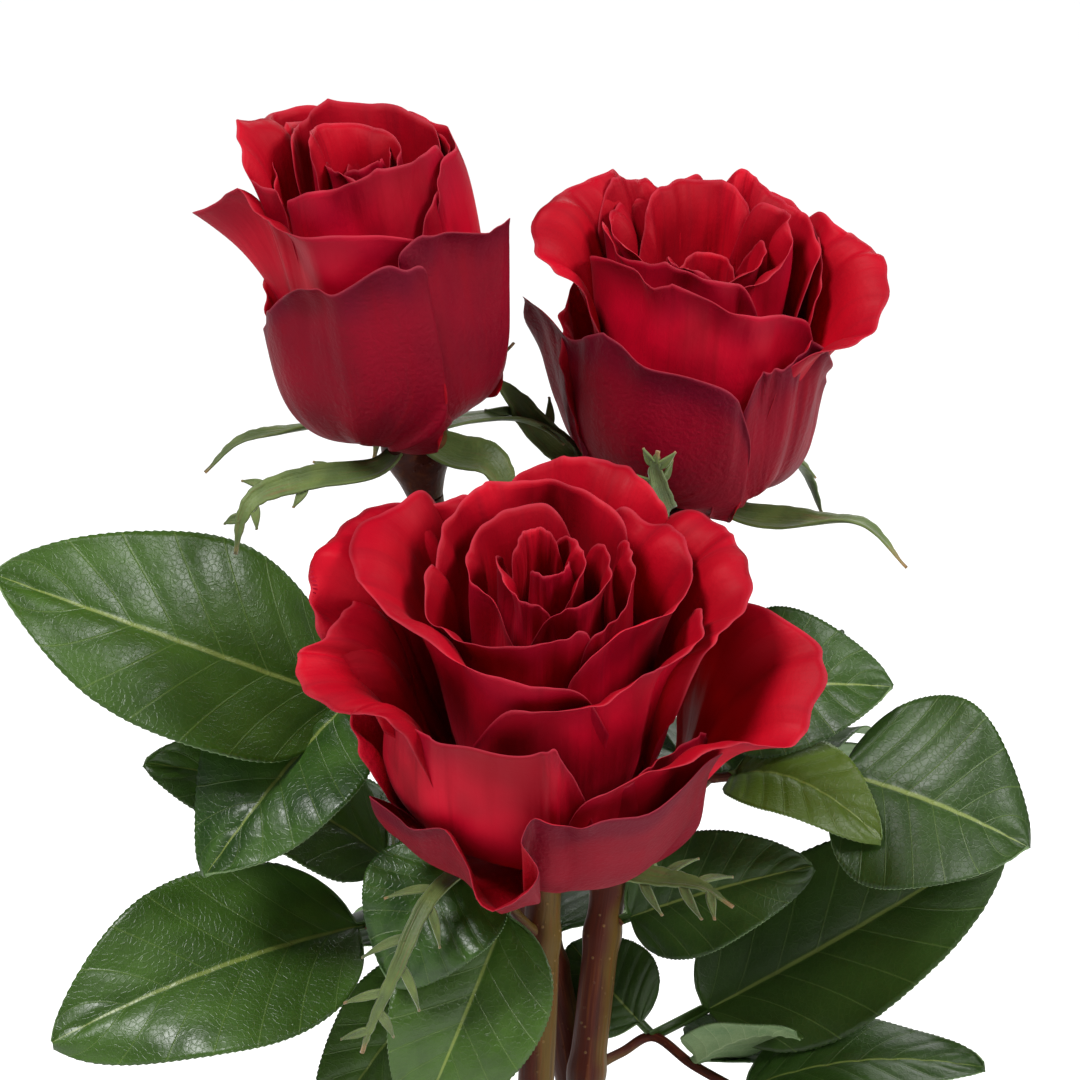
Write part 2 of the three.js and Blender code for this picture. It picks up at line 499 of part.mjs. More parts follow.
// A sepal leaves the hip below the petals and tapers along its path.
function sepalSolid(frame, [width, points]) {
  const [turn] = points[0];
  const path = new THREE.CatmullRomCurve3([[turn, 4, -3], ...points].map(p => inFrame(frame, ...p)));
  const steps = 6;
  const grid = [];
  for (let i = 0; i <= steps; i++) {
    const t = i / steps;
    const tangent = path.getTangent(t);
    const outward = path.getPoint(t).sub(frame.base);
    const side = tangent.clone().cross(outward.addScaledVector(frame.axis, 30)).normalize();
    const half = Math.max(0.5, width / 2 * Math.sin(Math.PI * (0.22 + 0.78 * t ** 0.8)));
    grid.push([-1, 1].map(s => path.getPoint(t).addScaledVector(side, s * half)));
  }
  return sheet(grid, SEPAL_THICKNESS);
}

function calyxSolid(rose, frame) {
  return rose.sepals.map(sepal => sepalSolid(frame, sepal)).reduce((a, b) => a.add(b), hipSolid(frame));
}

function stemSolid(rose, frame) {
  const top = inFrame(frame, 0, 0, -HIP_LENGTH - GAP);
  const below = inFrame(frame, 0, 0, -HIP_LENGTH - 6);
  const [x, y] = rose.stem[rose.stem.length - 1];
  const foot = [x, y, VASE_FLOOR + GAP];
  return bar([top.toArray(), below.toArray(), ...rose.stem, foot], STEM_RADIUS, STEM_SIDES, 22);
}

// ---------------------------------------------------------------- a leaf

// A pointed oval blade. It is narrow along its bare stalk, then widest before its middle.
function leafletSolid(start, { tip, width, face, arch, sway, bare = 2 }) {
  const from = new THREE.Vector3(...start);
  const run = new THREE.Vector3(...tip).sub(from);
  const length = run.length();
  const ahead = run.clone().normalize();
  const facing = new THREE.Vector3(...face);
  const up = facing.addScaledVector(ahead, -facing.dot(ahead)).normalize();
  const side = up.clone().cross(ahead);
  const bladeStart = bare / length;
  const grid = [];
  for (const t of [0, bladeStart, 0.2, 0.45, 0.75, 1]) {
    const along = THREE.MathUtils.clamp((t - bladeStart) / (1 - bladeStart), 0, 1);
    const half = Math.max(0.8, width / 2 * Math.sin(Math.PI * along ** BLADE_WIDEST) ** BLADE_FULLNESS);
    const rise = 4 * arch * t * (1 - t);
    const drift = 4 * sway * t * (1 - t);
    const middle = from.clone().addScaledVector(ahead, t * length)
      .addScaledVector(up, rise).addScaledVector(side, drift);
    grid.push([-1, 0, 1].map(s => middle.clone()
      .addScaledVector(side, s * half).addScaledVector(up, Math.abs(s) * BLADE_FOLD * half)));
  }
  return sheet(grid, BLADE_THICKNESS);
}

function leafSolid(leaf) {
  const stalk = bar(leaf.stalk, PETIOLE_RADIUS, 6, 6);
  return leaf.leaflets.map(l => leafletSolid(leaf.stalk[l.from], l)).reduce((a, b) => a.add(b), stalk);
}

// ---------------------------------------------------------------- the vase

function vaseSolid() {
  const wall = points => new THREE.SplineCurve(points.map(p => new THREE.Vector2(...p))).getPoints(8);
  const foot = VASE_FOOT_RADIUS;
  const outside = wall([[foot, 1.2], [foot + 7, 25], [foot + 13, 55], [foot + 12, 82], [foot + 4, 108],
    [foot - 4, 132], [foot - 6, 146], [foot - 3, 157], [foot, VASE_HEIGHT - 2]]);
  const inside = wall([[foot - 4, VASE_HEIGHT - 2], [foot - 7.5, 157], [foot - 10, 146], [foot - 8, 132],
    [foot, 108], [foot + 8, 82], [foot + 9, 55], [foot + 3, 27], [foot - 4, VASE_FLOOR + 3]]);
  const profile = [
    [0, 0], [foot - 1.2, 0],
    ...outside.map(p => p.toArray()),
    [foot - 0.6, VASE_HEIGHT - 0.5], [foot - 2, VASE_HEIGHT], [foot - 3.4, VASE_HEIGHT - 0.5],
    ...inside.map(p => p.toArray()),
    [foot - 9, VASE_FLOOR], [0, VASE_FLOOR],
  ];
  return manifoldOf(turned(profile, VASE_SEGMENTS));
}

// ---------------------------------------------------------------- the assembly

const group = new THREE.Group();
group.add(pieceMesh("vase", vaseSolid(), glaze));

const frames = ROSES.map(roseFrame);
ROSES.forEach((rose, i) => {
  group.add(pieceMesh(`${rose.name}_stem`, stemSolid(rose, frames[i]), stemBrown));
});
ROSES.forEach((rose, i) => {
  group.add(pieceMesh(`${rose.name}_calyx`, calyxSolid(rose, frames[i]), sepalGreen));
});
ROSES.forEach((rose, i) => {
  group.add(pieceMesh(`${rose.name}_heart`, heartSolid(frames[i], rose.heart), petalRed));
  rose.petals.forEach((petal, k) => {
    const name = `${rose.name}_petal_${String(k + 1).padStart(2, "0")}`;
    const order = (k + 1) / rose.petals.length;
    group.add(pieceMesh(name, petalSolid(frames[i], petal, order), petalRed));
  });
});
LEAVES.forEach(leaf => group.add(pieceMesh(leaf.name, leafSolid(leaf), leafGreen)));

export default group;
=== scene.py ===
"""Three cut red roses with their leaves, standing in a plain glazed vase."""

import math

import bpy
import numpy as np
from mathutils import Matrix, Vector


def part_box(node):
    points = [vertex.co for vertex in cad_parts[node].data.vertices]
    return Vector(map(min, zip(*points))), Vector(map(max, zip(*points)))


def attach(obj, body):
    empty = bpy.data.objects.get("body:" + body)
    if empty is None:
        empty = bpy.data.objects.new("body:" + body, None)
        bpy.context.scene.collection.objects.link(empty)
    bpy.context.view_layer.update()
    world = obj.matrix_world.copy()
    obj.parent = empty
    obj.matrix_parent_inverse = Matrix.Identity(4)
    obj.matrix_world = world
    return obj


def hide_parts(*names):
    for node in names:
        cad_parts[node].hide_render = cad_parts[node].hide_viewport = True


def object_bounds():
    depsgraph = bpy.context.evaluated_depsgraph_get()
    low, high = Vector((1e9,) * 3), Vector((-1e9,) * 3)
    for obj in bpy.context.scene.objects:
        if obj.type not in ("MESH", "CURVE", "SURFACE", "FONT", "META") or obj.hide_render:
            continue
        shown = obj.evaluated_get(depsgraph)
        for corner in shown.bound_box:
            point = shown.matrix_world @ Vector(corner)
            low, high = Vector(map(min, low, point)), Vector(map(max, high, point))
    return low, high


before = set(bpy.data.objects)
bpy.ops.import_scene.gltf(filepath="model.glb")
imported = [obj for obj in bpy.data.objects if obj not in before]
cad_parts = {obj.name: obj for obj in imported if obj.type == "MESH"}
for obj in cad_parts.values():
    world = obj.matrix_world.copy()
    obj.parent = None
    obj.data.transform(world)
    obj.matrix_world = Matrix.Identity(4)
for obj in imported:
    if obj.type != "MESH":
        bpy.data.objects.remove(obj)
cad_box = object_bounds()


# ---------------------------------------------------------------- the table, the light and the camera
# A matt white table top carries the vase. A broad soft lamp stands ahead on the left, smaller ones
# on the right and behind pick out the waxy leaves, and the white room fills the shadows.

tall = cad_box[1].z
reach = 60 * tall
table = bpy.data.meshes.new("table_top")
table.from_pydata([(-reach, -reach, 0), (reach, -reach, 0), (reach, reach, 0), (-reach, reach, 0)], [],
                  [(0, 1, 2, 3)])
table_top = bpy.data.objects.new("table_top", table)
bpy.context.scene.collection.objects.link(table_top)
table_white = bpy.data.materials.new("table_white")
table_white.use_nodes = True
table_paint = table_white.node_tree.nodes["Principled BSDF"]
table_paint.inputs["Base Color"].default_value = (0.98, 0.98, 0.98, 1)
table_paint.inputs["Roughness"].default_value = 0.9
table_paint.inputs["Specular IOR Level"].default_value = 0.0
table.materials.append(table_white)

room = bpy.data.worlds.new("white_room")
room.use_nodes = True
room.node_tree.nodes["Background"].inputs["Color"].default_value = (1, 1, 1, 1)
room.node_tree.nodes["Background"].inputs["Strength"].default_value = 0.16
bpy.context.scene.world = room


def lamp(name, kind, strength, place, **settings):
    """A lamp that shines from a place towards the flowers."""
    light = bpy.data.lights.new(name, kind)
    light.energy = strength
    for key, value in settings.items():
        setattr(light, key, value)
    made = bpy.data.objects.new(name, light)
    made.location = place
    towards = Vector((0, 0, 0.75 * tall)) - made.location
    made.rotation_euler = towards.to_track_quat("-Z", "Y").to_euler()
    bpy.context.scene.collection.objects.link(made)


lamp("key_lamp", "SUN", 3.5, (-1.15, -1.45, 2.5), angle=math.radians(16))
lamp("right_lamp", "AREA", 11, (0.75, -0.55, 0.95), size=0.42)
lamp("back_lamp", "AREA", 6, (0.3, 0.9, 1.1), size=0.6)

# The camera looks down a little, from in front, at the heads and the leaves under them.
LOOK_DOWN = math.radians(14)
CAMERA_DISTANCE = 1.1
look_at = Vector((-0.0031, 0, 0.7785 * tall))
ahead = Vector((0, math.cos(LOOK_DOWN), -math.sin(LOOK_DOWN)))
lens = bpy.data.cameras.new("camera")
lens.sensor_width = 36
lens.lens = 190.7
camera = bpy.data.objects.new("camera", lens)
camera.location = look_at - CAMERA_DISTANCE * ahead
camera.rotation_euler = (math.pi / 2 - LOOK_DOWN, 0, 0)
bpy.context.scene.collection.objects.link(camera)
bpy.context.scene.camera = camera
bpy.context.scene.view_settings.view_transform = "Standard"


# ---------------------------------------------------------------- the vase
# A plain thrown stoneware vase with an off-white glaze, open at the neck. The glaze follows the
# faint turning lines and stops short of the flat foot, which is left bare.

MM = 0.001
BELLY_PAST_FOOT = 13      # how much further out than the foot the belly is
FLOOR = 6                 # how high the inside of the vase starts


class Value:
    """One output of a material's nodes. An expression on it adds the Math nodes that it needs."""

    def __init__(self, surface, socket):
        self.surface = surface
        self.socket = socket

    def maths(self, operation, *values):
        return self.surface.node("Math", {"operation": operation}, dict(enumerate(values)))

    def __add__(self, other):
        return self.maths("ADD", self, other)

    __radd__ = __add__

    def __sub__(self, other):
        return self.maths("SUBTRACT", self, other)

    def __rsub__(self, other):
        return self.maths("SUBTRACT", other, self)

    def __mul__(self, other):
        return self.maths("MULTIPLY", self, other)

    __rmul__ = __mul__

    def __pow__(self, other):
        return self.maths("POWER", self, other)

    def __abs__(self):
        return self.maths("ABSOLUTE", self)

    def __mod__(self, other):
        return self.maths("FLOORED_MODULO", self, other)

    def between(self, low, high):
        """0 where the value is at low or beyond, 1 where it is at high or beyond, and smooth between."""
        limits = {"Value": self, "From Min": low, "From Max": high}
        return self.surface.node("MapRange", {"interpolation_type": "SMOOTHSTEP"}, limits)


class Surface:
    """A material, built up from its nodes."""

    def __init__(self, name):
        self.material = bpy.data.materials.new(name)
        self.material.use_nodes = True
        self.tree = self.material.node_tree
        self.tree.nodes.clear()

    def node(self, kind, settings, inputs, output=0):
        made = self.tree.nodes.new("ShaderNode" + kind)
        for key, value in settings.items():
            setattr(made, key, value)
        for key, value in inputs.items():
            if isinstance(value, Value):
                self.tree.links.new(value.socket, made.inputs[key])
            else:
                made.inputs[key].default_value = value
        return Value(self, made.outputs[output])

    def mix(self, factor, first, second):
        """The colour that is first where the factor is 0 and second where it is 1."""
        return self.node("Mix", {"data_type": "RGBA"}, {0: factor, 6: first, 7: second}, output=2)

    def place(self):
        """Where a point is on its own piece: across it, along it, and 1 on its back or 0 on its front."""
        read = self.node("Attribute", {"attribute_name": "place"}, {}, "Vector")
        return [self.node("SeparateXYZ", {}, {0: read}, axis) for axis in "XYZ"]

    def number(self):
        """The piece's own number, which keeps any two petals or leaflets from looking alike."""
        return self.node("Attribute", {"attribute_name": "number"}, {}, "Fac")

    def noise(self, x, y, z, detail=3):
        """Uneven values around 0.5, with one cell to each unit of x, y and z."""
        where = self.node("CombineXYZ", {}, {0: x, 1: y, 2: z})
        return self.node("TexNoise", {}, {"Vector": where, "Scale": 1, "Detail": detail})

    def grain(self, cells, detail=3):
        """Uneven values around 0.5 through the whole object, with so many cells to a millimetre."""
        where = self.node("TexCoord", {}, {}, "Object")
        return self.node("TexNoise", {}, {"Vector": where, "Scale": cells / MM, "Detail": detail})

    def bump(self, height, depth):
        """A relief as deep as that many millimetres where the height goes from 0 to 1."""
        return self.node("Bump", {}, {"Height": height, "Distance": depth * MM, "Strength": 1})

    def finish(self, shader):
        end = self.tree.nodes.new("ShaderNodeOutputMaterial")
        self.tree.links.new(shader.socket, end.inputs["Surface"])
        return self.material


def smooth(x):
    """0 below 0, 1 above 1 and a smooth step between."""
    x = np.clip(x, 0, 1)
    return x * x * (3 - 2 * x)


def spline(points, count):
    """Points evenly spread by number along a smooth curve through the given ones."""
    given = np.array(points, float)
    given = np.vstack([2 * given[0] - given[1], given, 2 * given[-1] - given[-2]])
    along = np.linspace(0, len(points) - 1, count)
    start = np.minimum(along.astype(int), len(points) - 2)
    f = (along - start)[:, None]
    a, b, c, d = (given[start + k] for k in range(4))
    return 0.5 * (2 * b + (c - a) * f + (2 * a - 5 * b + 4 * c - d) * f**2 + (3 * b - a - 3 * c + d) * f**3)


def joined(loops, tip_start, tip_end):
    """A closed body through rings of points, ended by a point at each end. Its faces look outwards
    where the rings run anticlockwise as seen from the far end."""
    rings, sides = loops.shape[:2]
    points = np.vstack([loops.reshape(-1, 3), tip_start, tip_end])
    ring, side = np.meshgrid(np.arange(rings - 1), np.arange(sides), indexing="ij")
    a = (ring * sides + side).ravel()
    b = (ring * sides + (side + 1) % sides).ravel()
    faces = np.stack([a, b, b + sides, a + sides], 1).tolist()
    last = (rings - 1) * sides
    for k in range(sides):
        faces.append([(k + 1) % sides, k, rings * sides])
        faces.append([last + k, last + (k + 1) % sides, rings * sides + 1])
    turn, along = np.meshgrid(np.arange(sides) / sides, np.arange(rings) / (rings - 1))
    places = np.stack([turn, along, 0 * turn], 2).reshape(-1, 3)
    return points, faces, np.vstack([places, [0, 0, 0], [0, 1, 0]]), 0


def piece(name, bodies, material, node):
    """One mesh object of several closed bodies in millimetres, which stands for a CAD node."""
    points = np.vstack([body[0] for body in bodies]) * MM
    places = np.vstack([body[2] for body in bodies])
    numbers = np.concatenate([np.full(len(body[0]), body[3], float) for body in bodies])
    faces, first = [], 0
    for body in bodies:
        faces += [[first + corner for corner in face] for face in body[1]]
        first += len(body[0])
    mesh = bpy.data.meshes.new(name)
    mesh.from_pydata(points.tolist(), [], faces)
    mesh.attributes.new("place", "FLOAT_VECTOR", "POINT").data.foreach_set("vector", places.ravel())
    mesh.attributes.new("number", "FLOAT", "POINT").data.foreach_set("value", numbers)
    mesh.shade_smooth()
    mesh.materials.append(material)
    made = bpy.data.objects.new(name, mesh)
    bpy.context.scene.collection.objects.link(made)
    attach(made, "root")
    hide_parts(node)
    return made


def glazed():
    """Off-white glaze with faint iron specks, over bare buff clay at the foot."""
    skin = Surface("vase_glaze")
    height = skin.node("SeparateXYZ", {}, {0: skin.node("TexCoord", {}, {}, "Object")}, "Z")
    clouds = skin.grain(0.035, 2)
    speck = skin.grain(0.9, 1).between(0.71, 0.76)
    turning = skin.noise(0, height * 420, skin.grain(0.01, 0) * 3, 2)
    glaze = skin.mix(clouds.between(0.35, 0.7), (0.78, 0.755, 0.70, 1), (0.70, 0.67, 0.61, 1))
    glaze = skin.mix(speck * 0.55, glaze, (0.24, 0.16, 0.10, 1))
    bare = (height + (clouds - 0.5) * 0.0012).between(0.0031, 0.0024)
    colour = skin.mix(bare, glaze, (0.50, 0.40, 0.29, 1))
    relief = turning * (1 - bare) + skin.grain(2.2, 2) * bare
    return skin.finish(skin.node("BsdfPrincipled", {}, {
        "Base Color": colour,
        "Roughness": 0.16 + bare * 0.64,
        "Normal": skin.bump(relief, 0.16),
    }))


def turned(profile, sides):
    """A body turned about the upright axis from [radius, height] points that start and end on it."""
    radius, height = np.array(profile[1:-1]).T
    turn = np.linspace(0, 2 * math.pi, sides, endpoint=False)
    loops = np.stack([radius[:, None] * np.cos(turn), radius[:, None] * np.sin(turn),
                      np.repeat(height[:, None], sides, 1)], 2)
    return joined(loops, [0, 0, profile[0][1]], [0, 0, profile[-1][1]])


def vase_profile():
    """The vase's wall in section: out over the foot, up the outside, over the lip and down the inside."""
    low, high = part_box("vase")
    height = (high.z - low.z) / MM
    foot = (high.x - low.x) / 2 / MM - BELLY_PAST_FOOT
    outside = spline([[foot, 1.2], [foot + 7, 25], [foot + BELLY_PAST_FOOT, 55], [foot + 12, 82],
                      [foot + 4, 108], [foot - 4, 132], [foot - 6, 146], [foot - 3, 157],
                      [foot, height - 2]], 90)
    inside = spline([[foot - 4, height - 2], [foot - 7.5, 157], [foot - 10, 146], [foot - 8, 132],
                     [foot, 108], [foot + 8, 82], [foot + 9, 55], [foot + 3, 27], [foot - 4, 9]], 60)
    lip = [[foot - 0.5, height - 0.8], [foot - 1.3, height - 0.2], [foot - 2, height],
           [foot - 2.7, height - 0.2], [foot - 3.5, height - 0.8]]
    start = [[0, 0], [foot - 1.4, 0], [foot - 0.5, 0.4]]
    end = [[foot - 9, FLOOR], [0, FLOOR]]
    return [*start, *outside.tolist(), *lip, *inside.tolist(), *end]


piece("vase_body", [turned(vase_profile(), 120)], glazed(), "vase")


# ---------------------------------------------------------------- the stems
# Three cut canes, smooth where the prickles were taken off, brown-red where the sun reached them
# and green on the other side. Each swells a little where a leaf leaves it.

ROSES = ["left_rose", "right_rose", "front_rose"]
STEM_RADIUS = 3.6
STEM_SIDES = 28
HIP_LENGTH = 15
HEART_BOTTOM = 10.5       # how far above the hip a CAD heart starts
# Each path goes down from under the hip into the vase, and each swelling is a height on it.
STEM_PATHS = {
    "left_rose": [[-20, 8, 280], [-12, 12.5, 245], [-3, 15, 215], [2.5, 15.5, 190], [7, 14.5, 160],
                  [10.5, 10, 120], [13, 4, 70], [14, 0, 25]],
    "right_rose": [[20.5, 29, 268], [14.5, 20, 242], [9.8, 12.5, 220], [6.8, 7.5, 195], [3, 4, 160],
                   [-4, -1, 115], [-10, -5, 65], [-13, -7, 25]],
    "front_rose": [[-2.5, -8.5, 228], [-3.2, -9, 210], [-4, -11, 190], [-5, -13, 160], [-6, -17, 120],
                   [-2, -20, 70], [2, -20, 25]],
}
STEM_JOINTS = {
    "left_rose": [255, 240, 228, 208, 190],
    "right_rose": [262, 243, 225, 216, 189],
    "front_rose": [222],
}


class Flower:
    """The frame of a rose: where its petals meet the hip, and an axis up through its heart. A place
    in it is a turn in degrees (0 to the right, -90 to the front), a radius and a height."""

    def __init__(self, rose):
        heart = np.array([v.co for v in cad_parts[rose + "_heart"].data.vertices]) / MM
        apart = np.linalg.norm(heart[:, None] - heart[None], axis=2)
        ends = heart[list(np.unravel_index(apart.argmax(), apart.shape))]
        bottom, top = ends[ends[:, 2].argsort()]
        self.axis = (top - bottom) / np.linalg.norm(top - bottom)
        self.base = bottom - HEART_BOTTOM * self.axis
        self.right = np.array([1.0, 0, 0]) - self.axis[0] * self.axis
        self.right /= np.linalg.norm(self.right)
        self.back = np.cross(self.axis, self.right)

    def at(self, turn, radius, height):
        turn, radius, height = np.broadcast_arrays(np.radians(turn), radius, height)
        way = np.cos(turn)[..., None] * self.right + np.sin(turn)[..., None] * self.back
        return self.base + radius[..., None] * way + height[..., None] * self.axis


flowers = {rose: Flower(rose) for rose in ROSES}


def rod(path, radii, sides, number=0):
    """A round body along a path, as thick as radii says at each of its points or at each corner."""
    path = np.asarray(path, float)
    ahead = np.gradient(path, axis=0)
    ahead /= np.linalg.norm(ahead, axis=1)[:, None]
    out = np.cross(ahead[0], [0.3, 1, 0.2])
    turn = np.linspace(0, 2 * math.pi, sides, endpoint=False)
    radii = np.broadcast_to(np.asarray(radii, float).reshape(len(path), -1), (len(path), sides))
    loops = []
    for middle, way, radius in zip(path, ahead, radii):
        out = out - way * (out @ way)
        out /= np.linalg.norm(out)
        round_it = np.cos(turn)[:, None] * out + np.sin(turn)[:, None] * np.cross(way, out)
        loops.append(middle + radius[:, None] * round_it)
    points, faces, places, _ = joined(np.array(loops), path[0], path[-1])
    return points, faces, places, number


def bark():
    """Smooth bark, brown-red on one side and olive green on the other, with fine lengthwise streaks."""
    skin = Surface("stem_bark")
    across, along, _ = skin.place()
    where = skin.node("TexCoord", {}, {}, "Object")
    side = skin.node("SeparateXYZ", {}, {0: skin.node("NewGeometry", {}, {}, "Normal")}, "X")
    streak = skin.noise(across * 26, along * 14, skin.number(), 4)
    patch = skin.grain(0.07, 3)
    green = (side + (patch - 0.5) * 1.6 + (skin.number() - 1) * 0.35).between(0.1, 0.9)
    colour = skin.mix(green, (0.055, 0.008, 0.003, 1), (0.085, 0.048, 0.005, 1))
    colour = skin.mix(streak.between(0.5, 0.72) * 0.55, colour, (0.125, 0.034, 0.006, 1))
    colour = skin.mix(streak.between(0.48, 0.3) * 0.5, colour, (0.022, 0.005, 0.003, 1))
    pore = skin.node("TexVoronoi", {}, {"Vector": where, "Scale": 0.52 / MM}, "Distance").between(0.2, 0.1)
    colour = skin.mix(pore * patch.between(0.45, 0.6) * 0.4, colour, (0.26, 0.15, 0.05, 1))
    return skin.finish(skin.node("BsdfPrincipled", {}, {
        "Base Color": colour,
        "Roughness": 0.42 + streak * 0.2,
        "Normal": skin.bump(streak + pore * 0.4, 0.22),
        "Specular IOR Level": 0.2,
    }))


def stem(rose, number):
    """A cane that is not quite round, from just under its hip to the floor of the vase."""
    flower = flowers[rose]
    top = [flower.at(0, 0, -HIP_LENGTH - 0.3), flower.at(0, 0, -HIP_LENGTH - 6)]
    foot = [*STEM_PATHS[rose][-1][:2], FLOOR + 0.3]
    path = spline([*top, *STEM_PATHS[rose], foot], 260)
    height = path[:, 2:]
    turn = np.linspace(0, 2 * math.pi, STEM_SIDES, endpoint=False)[None]
    uneven = 0.10 * np.sin(2 * turn + height / 23) + 0.07 * np.sin(3 * turn - height / 9)
    radii = STEM_RADIUS - 0.16 + uneven
    for joint in STEM_JOINTS[rose]:
        radii += 0.5 * np.exp(-((height - joint) / 2.6) ** 2)
    return rod(path, radii, STEM_SIDES, number)


stem_bark = bark()
for number, rose in enumerate(ROSES):
    piece(rose + "_cane", [stem(rose, number)], stem_bark, rose + "_stem")


# ---------------------------------------------------------------- the hips and sepals
# Under each head the stem swells into a smooth hip with the stem's own skin. Five green sepals grow
# from its rim: narrow pointed blades, some with thin side lobes, which arch out and hang when open.

HIP_RADIUS = 6.8
SEPAL_THICKNESS = 0.45
LOBE_POINTS = 12
# Each sepal is its width, the twist of its blade in degrees, a path of [turn, radius, height] in
# the frame of its rose, and its side lobes as [place along it, side, length].
SEPALS = {
    "left_rose": [
        [5, 25, [[150, 16, -2], [170, 26, 0], [175, 34, 0], [180, 41, -4]], []],
        [5, 60, [[-130, 12, -4], [-145, 23, -2], [-150, 33, -2], [-150, 38, -5], [-150, 41, -12]],
         [[0.35, 1, 3], [0.45, -1, 4], [0.6, 1, 4], [0.7, -1, 4], [0.82, 1, 3]]],
        [10, 0, [[-40, 10, -5], [-30, 16, -7], [-30, 18, -14], [-35, 15, -22]], []],
        [6, 0, [[40, 13, -5], [35, 24, -9], [30, 32, -17], [30, 33, -27]], [[0.6, 1, 5]]],
        [6, 0, [[105, 13, -5], [105, 25, -6], [105, 34, -13], [110, 36, -23]], []],
    ],
    "right_rose": [
        [6, 40, [[-165, 15, 0], [-170, 25, 6], [-175, 34, 15], [-175, 40, 22], [-175, 36, 29]],
         [[0.5, 1, 5], [0.62, -1, 5], [0.75, 1, 4]]],
        [7, 15, [[-40, 15, -3], [-30, 27, -1], [-30, 39, 3], [-30, 49, -3]], []],
        [5, 0, [[-100, 15, -1], [-100, 26, 6], [-105, 31, 18], [-105, 31, 23]],
         [[0.7, 1, 4], [0.72, -1, 4], [0.82, 1, 4], [0.85, -1, 3]]],
        [6, 0, [[60, 17, -5], [50, 31, -8], [50, 41, -17], [45, 44, -27]], [[0.6, 1, 5]]],
        [6, 0, [[120, 18, -6], [120, 33, -10], [120, 42, -18], [125, 43, -29]], []],
    ],
    "front_rose": [
        [3, 50, [[-140, 16, -5], [-135, 31, -4], [-130, 44, -11], [-130, 51, -20], [-130, 54, -26]],
         [[0.38, 1, 8], [0.44, -1, 7], [0.52, 1, 8], [0.6, -1, 8], [0.68, 1, 7], [0.76, -1, 6],
          [0.84, 1, 5]]],
        [4.5, 10, [[-55, 14, -5], [-40, 25, -4], [-35, 35, -2], [-35, 43, -3]],
         [[0.5, 1, 7], [0.6, -1, 6], [0.68, 1, 7], [0.76, -1, 6], [0.84, 1, 5]]],
        [6, 0, [[-5, 12, -8], [5, 21, -16], [10, 27, -17]], [[0.6, 1, 4]]],
        [6, 0, [[75, 15, -8], [80, 26, -15], [80, 32, -27], [80, 32, -38]], []],
        [6, 0, [[155, 13, -7], [150, 25, -12], [155, 31, -21], [160, 32, -30]], [[0.6, -1, 5]]],
    ],
}


def sheet(grid, thickness, across, along, number):
    """A closed body around a grid of points, as thick as one number or a grid of them says. Its back
    looks along the cross product of the ways in which the columns and then the rows run."""
    rows, columns = grid.shape[:2]
    count = rows * columns
    normal = np.cross(np.gradient(grid, axis=1), np.gradient(grid, axis=0))
    normal /= np.linalg.norm(normal, axis=2, keepdims=True) + 1e-12
    half = normal * thickness / 2
    points = np.vstack([(grid + half).reshape(-1, 3), (grid - half).reshape(-1, 3)])
    row, column = np.meshgrid(np.arange(rows - 1), np.arange(columns - 1), indexing="ij")
    a = (row * columns + column).ravel()
    back = np.stack([a, a + 1, a + columns + 1, a + columns], 1)
    front = back[:, ::-1] + count
    edge = np.concatenate([np.arange(columns - 1), columns * np.arange(1, rows) - 1,
                           count - 1 - np.arange(columns - 1), columns * np.arange(rows - 1, 0, -1)])
    ahead = np.roll(edge, -1)
    rim = np.stack([ahead, edge, edge + count, ahead + count], 1)
    places = [np.stack(np.broadcast_arrays(across, along, side), 2).reshape(-1, 3) for side in (1.0, 0.0)]
    return points, np.vstack([back, front, rim]).tolist(), np.vstack(places), number


def blade(path, half, bend, number):
    """A narrow sheet along a path, with its edges folded up by bend. The path is its middle points
    and the ways to its right and up at each of them, and half is half its width there."""
    middle, side, up = path
    across = np.linspace(-1, 1, 9)
    grid = (middle[:, None] + side[:, None] * (across[None, :] * half[:, None])[..., None]
            + up[:, None] * (bend * across[None, :] ** 2 * half[:, None])[..., None])
    return sheet(grid, SEPAL_THICKNESS, across[None, :], np.linspace(0, 1, len(middle))[:, None], number)


def sepal(flower, width, twist, path, lobes, number):
    """A sepal's blade, widest near its root and faintly toothed, and then each of its side lobes."""
    middle = spline(flower.at(*np.array([[path[0][0], 4, -3], *path], float).T), 44)
    ahead = np.gradient(middle, axis=0)
    ahead /= np.linalg.norm(ahead, axis=1)[:, None]
    side = np.cross(ahead, middle - flower.base + 30 * flower.axis)
    side /= np.linalg.norm(side, axis=1)[:, None]
    up = np.cross(side, ahead)
    along = np.linspace(0, 1, len(middle))
    angle = np.radians(twist) * along
    side, up = (side * np.cos(angle)[:, None] + up * np.sin(angle)[:, None],
                up * np.cos(angle)[:, None] - side * np.sin(angle)[:, None])
    shape = width / 2 * np.sin(math.pi * (0.22 + 0.78 * along**0.8))
    teeth = 0.25 * np.abs(np.sin(along * 40 + number)) * smooth((along - 0.25) * 4)
    bodies = [blade((middle, side, up), np.maximum(0.35, shape + teeth * (along < 0.95)), 0.35, number)]
    for place, way, length in lobes:
        k = int(place * (len(middle) - 1))
        root = middle[k] + side[k] * way * 0.6 * shape[k]
        out = 0.55 * ahead[k] + way * 0.8 * side[k]
        droop = 0.25 * ahead[k] - 0.25 * up[k]
        steps = np.linspace(0, 1, LOBE_POINTS)
        line = root + length * (steps[:, None] * out + (steps**2)[:, None] * droop)
        run = np.cross(up[k], out)
        run /= np.linalg.norm(run)
        ways = [np.repeat(one[None], LOBE_POINTS, 0) for one in (-run, up[k])]
        half = np.maximum(0.2, 0.9 * np.sin(math.pi * (0.3 + 0.7 * steps)))
        bodies.append(blade((line, *ways), half, 0.3, number))
    return bodies


